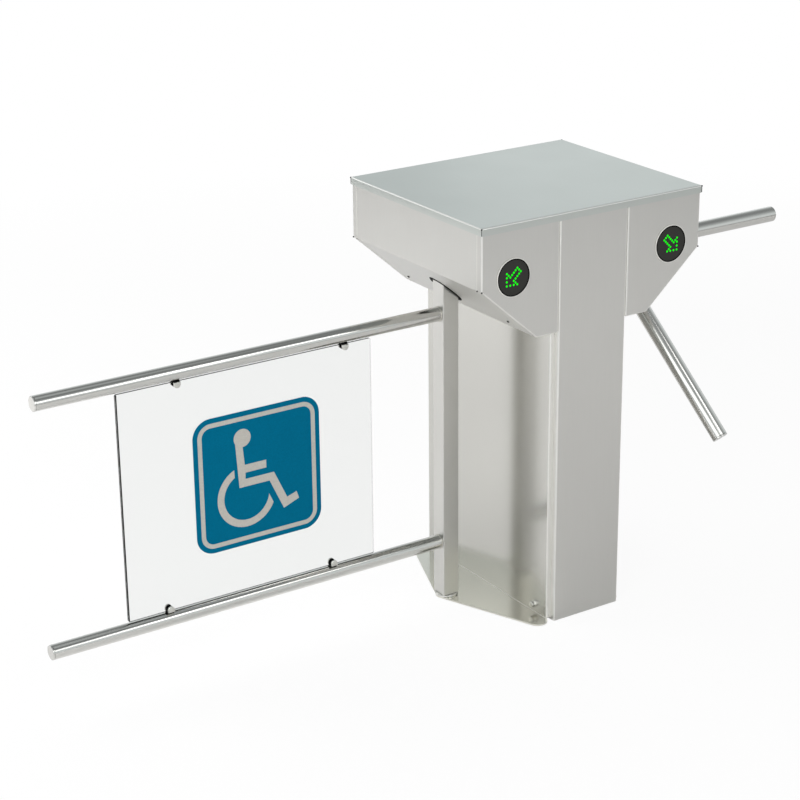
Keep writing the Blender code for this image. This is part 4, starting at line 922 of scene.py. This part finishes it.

# Dark dabs: painted shade in the notches and in the skirt's corner.
shade_dab_finish = fine_skin(
    "dark dab, painted shade", 0x1B1B1A, roughness=0.65, grain=0.0008, depth=0.00003, metallic=0.0,
)
dabs = bmesh.new()
lid_low, lid_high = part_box("lid")
wing_low, wing_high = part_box("front_left_wing")
seam_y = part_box("left_skin")[1].y
skirt = lid_high.z - lid_low.z - 2 * DAB_RADIUS
for side_x in (-1.0, 1.0):
    for side_y in (-1.0, 1.0):
        corner = (side_x * (lid_high.x - SKIRT_DAB), side_y * (lid_high.y - SKIRT_DAB))
        side = side_x * (-wing_low.x - SKIRT_DAB)
        for spot in (
            (*corner, lid_high.z - DAB_RADIUS),
            (side, side_y * (-wing_low.y - SKIRT_DAB), SHOULDER_RISE),
            (side, side_y * (seam_y + SKIRT_DAB), SHOULDER_RISE),
        ):
            bmesh.ops.create_uvsphere(
                dabs, u_segments=DAB_STEPS, v_segments=DAB_STEPS // 2, radius=DAB_RADIUS,
                matrix=Matrix.Translation(spot),
            )
        bmesh.ops.create_cone(
            dabs, cap_ends=True, segments=DAB_STEPS, radius1=SKIRT_DAB, radius2=SKIRT_DAB,
            depth=skirt, matrix=Matrix.Translation((*corner, lid_low.z + (DAB_RADIUS + skirt) / 2)),
        )
dab_piece = piece("corner_shade_dabs", dabs, shade_dab_finish, "cabinet")


# Seam strips: a bright zinc-plated strip closes the gap between each wing and its channel, a
# little below the two faces. It is a painted highlight, standing for the light line on the rounded
# edges there. Thin pale beads lie along the foot of each wall, its corners with the channels, and
# the joint between the skin and the rim of each wing. They are painted highlights, light lines
# where the joints catch the light.
STRIP_DEPTH = 0.0026
STRIP_REACH = 0.0120
STRIP_PLAY = 0.0001
SLOPE_FOOT = 0.1572
FOOT_BEAD = 0.0005
SEAM_BEAD = 0.0014
CORNER_BEAD = 0.0014
SEAM_SINK = 0.0008

highlight_strips = bmesh.new()
beads = bmesh.new()
channel_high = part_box("front_channel")[1]
wall_low, wall_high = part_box("left_wall")


def lay_bead(start, end, radius):
    """Lay a straight round pale bead, a painted highlight line, from one point to another."""
    along = end - start
    bmesh.ops.create_cone(
        beads, cap_ends=True, segments=DAB_STEPS, radius1=radius, radius2=radius,
        depth=along.length, matrix=Matrix.Translation((start + end) / 2)
        @ along.to_track_quat("Z", "Y").to_matrix().to_4x4(),
    )


for side_x in (-1.0, 1.0):
    for side_y in (-1.0, 1.0):
        inner, outer = channel_high.x + STRIP_PLAY, -wing_high.x - STRIP_PLAY
        face = -wing_low.y - STRIP_DEPTH
        size = Vector((outer - inner, STRIP_REACH, lid_low.z - wing_low.z - 2 * STRIP_DEPTH))
        middle = Vector((
            side_x * (inner + outer) / 2, side_y * (face - STRIP_REACH / 2),
            (lid_low.z + wing_low.z) / 2,
        ))
        bmesh.ops.create_cube(
            highlight_strips, size=1.0, matrix=Matrix.Translation(middle) @ Matrix.Diagonal((*size, 1.0)),
        )
        corner = Vector((side_x * channel_high.x, side_y * wall_high.y, wall_low.z))
        lay_bead(corner, Vector((corner.x, corner.y, wall_high.z)), CORNER_BEAD)
        skin_low, skin_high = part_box(("left" if side_x < 0 else "right") + "_skin")
        out = side_x * (-skin_low.x if side_x < 0 else skin_high.x)
        points = [
            Vector((x, side_y * seam_y, z))
            for x, z in (
                (out, lid_low.z), (out, SHOULDER_RISE), (side_x * SLOPE_FOOT, wing_low.z),
            )
        ]
        for start, end in zip(points, points[1:]):
            along = end - start
            sink = Vector((along.z, 0.0, -along.x)).normalized() * side_x * SEAM_SINK
            lay_bead(start + sink, end + sink, SEAM_BEAD)
    foot = Vector((side_x * wall_low.x, wall_low.y, wall_low.z))
    lay_bead(foot, Vector((foot.x, wall_high.y, foot.z)), FOOT_BEAD)
# Pale beads: painted highlight lines along the joints.
pale_highlight_finish = fine_skin(
    "pale bead, painted highlight", 0xD9D8D2, roughness=0.5, grain=0.0010, depth=0.00002, metallic=0.0,
)
bead_piece = piece("pale_highlight_beads", beads, pale_highlight_finish, "cabinet")
# The strips are a painted highlight, made in bright zinc.
highlight_strip_piece = piece("seam_highlight_strips", highlight_strips, bright_zinc, "cabinet")


# Dark ring round the post: a black ring, in the rubber finish, at the rim of the round opening in
# the slope, through which the post turns. It is painted shade, the dark of the gap into the shaded
# head. It is a ring on the slant of the slope.
SHADE_RING_RADIUS = 0.0024
SHADE_RING_CLEARANCE = 0.0045

slope_seat = seat_on("left_skin", (-SCREW_OUT, SCREW_ENDS[0][1], SCREW_RISE))
place, normal = slope_seat.translation, slope_seat.to_3x3() @ Vector((0.0, 0.0, 1.0))
slant = -normal.x / normal.z
post_low, post_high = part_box("gate_post")
opening = math.hypot(post_high.x - post_low.x, post_high.y - post_low.y) / 2 + SHADE_RING_CLEARANCE
section = [
    (opening + SHADE_RING_RADIUS * math.cos(t), SHADE_RING_RADIUS * math.sin(t))
    for t in (math.tau * k / (2 * CORNER_STEPS) for k in range(2 * CORNER_STEPS))
]
shape = spun(section)
opening_z = place.z + slant * (axis_x - place.x)
for vert in shape.verts:
    vert.co.z += opening_z + slant * vert.co.x
    vert.co.x += axis_x
# A black ring of painted shade round the post's opening.
shade_ring = piece("post_opening_shade_ring", shape, black_rubber, "cabinet")


# Works inside the head: machined and pressed steel parts, zinc plated to a soft grey, with a cast
# bearing housing, black plastic coils and a green board. They keep their CAD shapes, and get
# their finishes here.
circuit_board = fine_skin(
    "green circuit board", 0x1F5A34, roughness=0.45, grain=0.0020, depth=0.00003, metallic=0.0,
)
for material, nodes in (
    (zinc, (
        "deck_plate", "gate_bracket", "gate_bearing", "gate_brake", "brake_disc", "head_pivot",
        "main_shaft", "outer_bearing", "inner_bearing", "index_disc", "shaft_nut",
        "mechanism_plate", "front_cheek", "rear_cheek", "front_pawl", "rear_pawl",
        "front_plunger", "rear_plunger", "power_supply",
    )),
    (cast_metal, ("bearing_housing",)),
    (black_plastic, ("damper", "front_solenoid", "rear_solenoid")),
    (circuit_board, ("control_board",)),
):
    for node in nodes:
        for held in NODES[node].material_slots:
            held.material = material


# Floor, light and camera: a pale matt floor under a white surround. Soft lamps round the object
# light the matt surfaces alone, and the white cards beside them show in the metal alone. The
# camera stands where the photograph was taken.
FLOOR_HALF = 14.0
WHITE = (1.0, 1.0, 1.0, 1.0)
WHITE_SHARE = 0.92
SHADOW_REACH = 2.0
WORLD_LIGHT = 0.5
HORIZON_LEVEL = 0.90
CEILING_LEVEL = 0.26
CEILING_START = 0.30
CEILING_FULL = 0.80
ZENITH_START = 0.87
ZENITH_FULL = 0.97
ZENITH_EXTRA = 0.52
SKY_TINT = (0.94, 0.995, 1.01, 1.0)
LAMPS = (
    # name, place, aim, width, height, power, seen in polished faces, lights matt faces
    ("left_floor_lamp", (-3.2, -2.3, 2.1), (-1.5, -1.4, 0.0), 1.8, 1.8, 62.0, False, True),
    ("back_floor_lamp", (-2.1, 2.4, 2.5), (-1.3, 1.5, 0.0), 2.2, 2.2, 66.0, False, True),
    ("near_floor_lamp", (-0.45, 0.35, 0.7), (-0.44, 0.34, 0.0), 0.5, 0.5, 1.6, False, True),
    ("right_floor_lamp", (1.9, -2.6, 2.2), (0.5, -1.0, 0.0), 2.0, 2.0, 27.0, False, True),
    ("left_card", (-2.2, -1.6, 1.5), (0.0, 0.0, 0.8), 2.7, 1.25, 12.0, True, False),
    ("outer_line_card", (-0.15, -2.1, 1.65), (-1.0, 0.0, 0.72), 0.9, 0.7, 3.2, True, False),
    ("inner_line_card", (0.65, -2.1, 2.3), (-0.5, 0.0, 0.72), 0.9, 0.7, 4.0, True, False),
    ("back_card", (-1.5, 2.9, 2.6), (-0.2, 0.0, 0.9), 1.8, 1.6, 9.4, True, False),
    ("right_back_card", (2.1, 2.3, 1.8), (0.2, 0.0, 1.0), 1.2, 1.2, 0.9, True, False),
)

floor_shape = bmesh.new()
bmesh.ops.create_grid(floor_shape, x_segments=1, y_segments=1, size=FLOOR_HALF)
floor_mesh = bpy.data.meshes.new("floor")
floor_shape.to_mesh(floor_mesh)
floor_shape.free()
floor = bpy.data.objects.new("floor", floor_mesh)
bpy.context.collection.objects.link(floor)
pale, shader = new_material(
    "pale matt floor", Base_Color=linear(0xEFEFEF), Roughness=0.9, Specular_IOR_Level=0.0,
)


def seen_straight(material):
    """1 where a ray comes from the camera straight or through clear acrylic, else 0."""
    path = add(material, "ShaderNodeLightPath").outputs
    return add(
        material, "ShaderNodeMath", {"operation": "MAXIMUM"}, None,
        {0: path["Is Camera Ray"], 1: path["Is Transmission Ray"]},
    ).outputs[0]


reach = add(
    pale, "ShaderNodeVectorMath", {"operation": "LENGTH"}, None,
    {0: add(pale, "ShaderNodeTexCoord").outputs["Object"]},
).outputs["Value"]
fade = add(
    pale, "ShaderNodeMapRange",
    inputs={
        "From Min": SHADOW_REACH, "From Max": 2 * SHADOW_REACH,
        "To Min": WHITE_SHARE, "To Max": 1.0,
    },
    links={"Value": reach},
).outputs["Result"]
share = add(
    pale, "ShaderNodeMath", {"operation": "MULTIPLY"}, None, {0: seen_straight(pale), 1: fade},
)
white = add(pale, "ShaderNodeEmission", inputs={"Color": WHITE, "Strength": 1.0})
both = add(
    pale, "ShaderNodeMixShader", None, None,
    {0: share.outputs[0], 1: shader.outputs[0], 2: white.outputs[0]},
)
surface = pale.node_tree.nodes["Material Output"].inputs["Surface"]
pale.node_tree.links.new(both.outputs[0], surface)
floor_mesh.materials.append(pale)

world = bpy.data.worlds.new("white surround")
world.use_nodes = True
bpy.context.scene.world = world
background = world.node_tree.nodes["Background"]
glossy = add(world, "ShaderNodeLightPath").outputs["Is Glossy Ray"]
outward = add(world, "ShaderNodeTexCoord").outputs["Generated"]
rise = add(world, "ShaderNodeSeparateXYZ", None, None, {0: outward}).outputs["Z"]
ceiling, zenith = (
    add(
        world, "ShaderNodeMapRange",
        inputs={"From Min": start, "From Max": end, "To Min": least, "To Max": most},
        links={"Value": rise},
    ).outputs["Result"]
    for start, end, least, most in (
        (CEILING_START, CEILING_FULL, HORIZON_LEVEL, CEILING_LEVEL),
        (ZENITH_START, ZENITH_FULL, 0.0, ZENITH_EXTRA),
    )
)
glossy_level = add(
    world, "ShaderNodeMath", {"operation": "ADD"}, None, {0: ceiling, 1: zenith},
).outputs[0]
matt_level = add(
    world, "ShaderNodeMapRange", inputs={"To Min": WORLD_LIGHT, "To Max": 1.0},
    links={"Value": seen_straight(world)},
).outputs["Result"]
level = add(
    world, "ShaderNodeMix", {"data_type": "FLOAT"}, None,
    {"Factor": glossy, "A": matt_level, "B": glossy_level},
)
tint = add(
    world, "ShaderNodeMix", {"data_type": "RGBA"}, {6: WHITE, 7: SKY_TINT}, {"Factor": glossy},
)
world.node_tree.links.new(tint.outputs[2], background.inputs["Color"])
world.node_tree.links.new(level.outputs[0], background.inputs["Strength"])

for name, place, aim, width, height, power, mirrored, matt in LAMPS:
    lamp = bpy.data.lights.new(name, "AREA")
    lamp.shape = "RECTANGLE"
    lamp.size = width
    lamp.size_y = height
    lamp.energy = power
    holder = bpy.data.objects.new(name, lamp)
    bpy.context.collection.objects.link(holder)
    holder.location = place
    holder.rotation_euler = (Vector(aim) - Vector(place)).to_track_quat("-Z", "Y").to_euler()
    holder.visible_camera = False
    holder.visible_glossy = mirrored
    holder.visible_diffuse = matt

SENSOR = 36.0
FOCAL_PIXELS = 2137.4
FRAME_PIXELS = 800
CAMERA_PLACE = (-2.8650, -3.8644, 2.3010)
YAW = math.radians(33.05)
PITCH = math.radians(20.98)
ROLL = math.radians(-0.6)

forward = Vector((
    math.sin(YAW) * math.cos(PITCH), math.cos(YAW) * math.cos(PITCH), -math.sin(PITCH),
))
right = Vector((math.cos(YAW), -math.sin(YAW), 0.0))
up = right.cross(forward)
rolled_right = right * math.cos(ROLL) + up * math.sin(ROLL)
rolled_up = up * math.cos(ROLL) - right * math.sin(ROLL)
lens = bpy.data.cameras.new("camera")
lens.sensor_width = SENSOR
lens.lens = FOCAL_PIXELS * SENSOR / FRAME_PIXELS
camera = bpy.data.objects.new("camera", lens)
bpy.context.collection.objects.link(camera)
camera.matrix_world = (
    Matrix.Translation(CAMERA_PLACE)
    @ Matrix((rolled_right, rolled_up, -forward)).transposed().to_4x4()
)
bpy.context.scene.camera = camera
bpy.context.scene.view_settings.view_transform = "Standard"
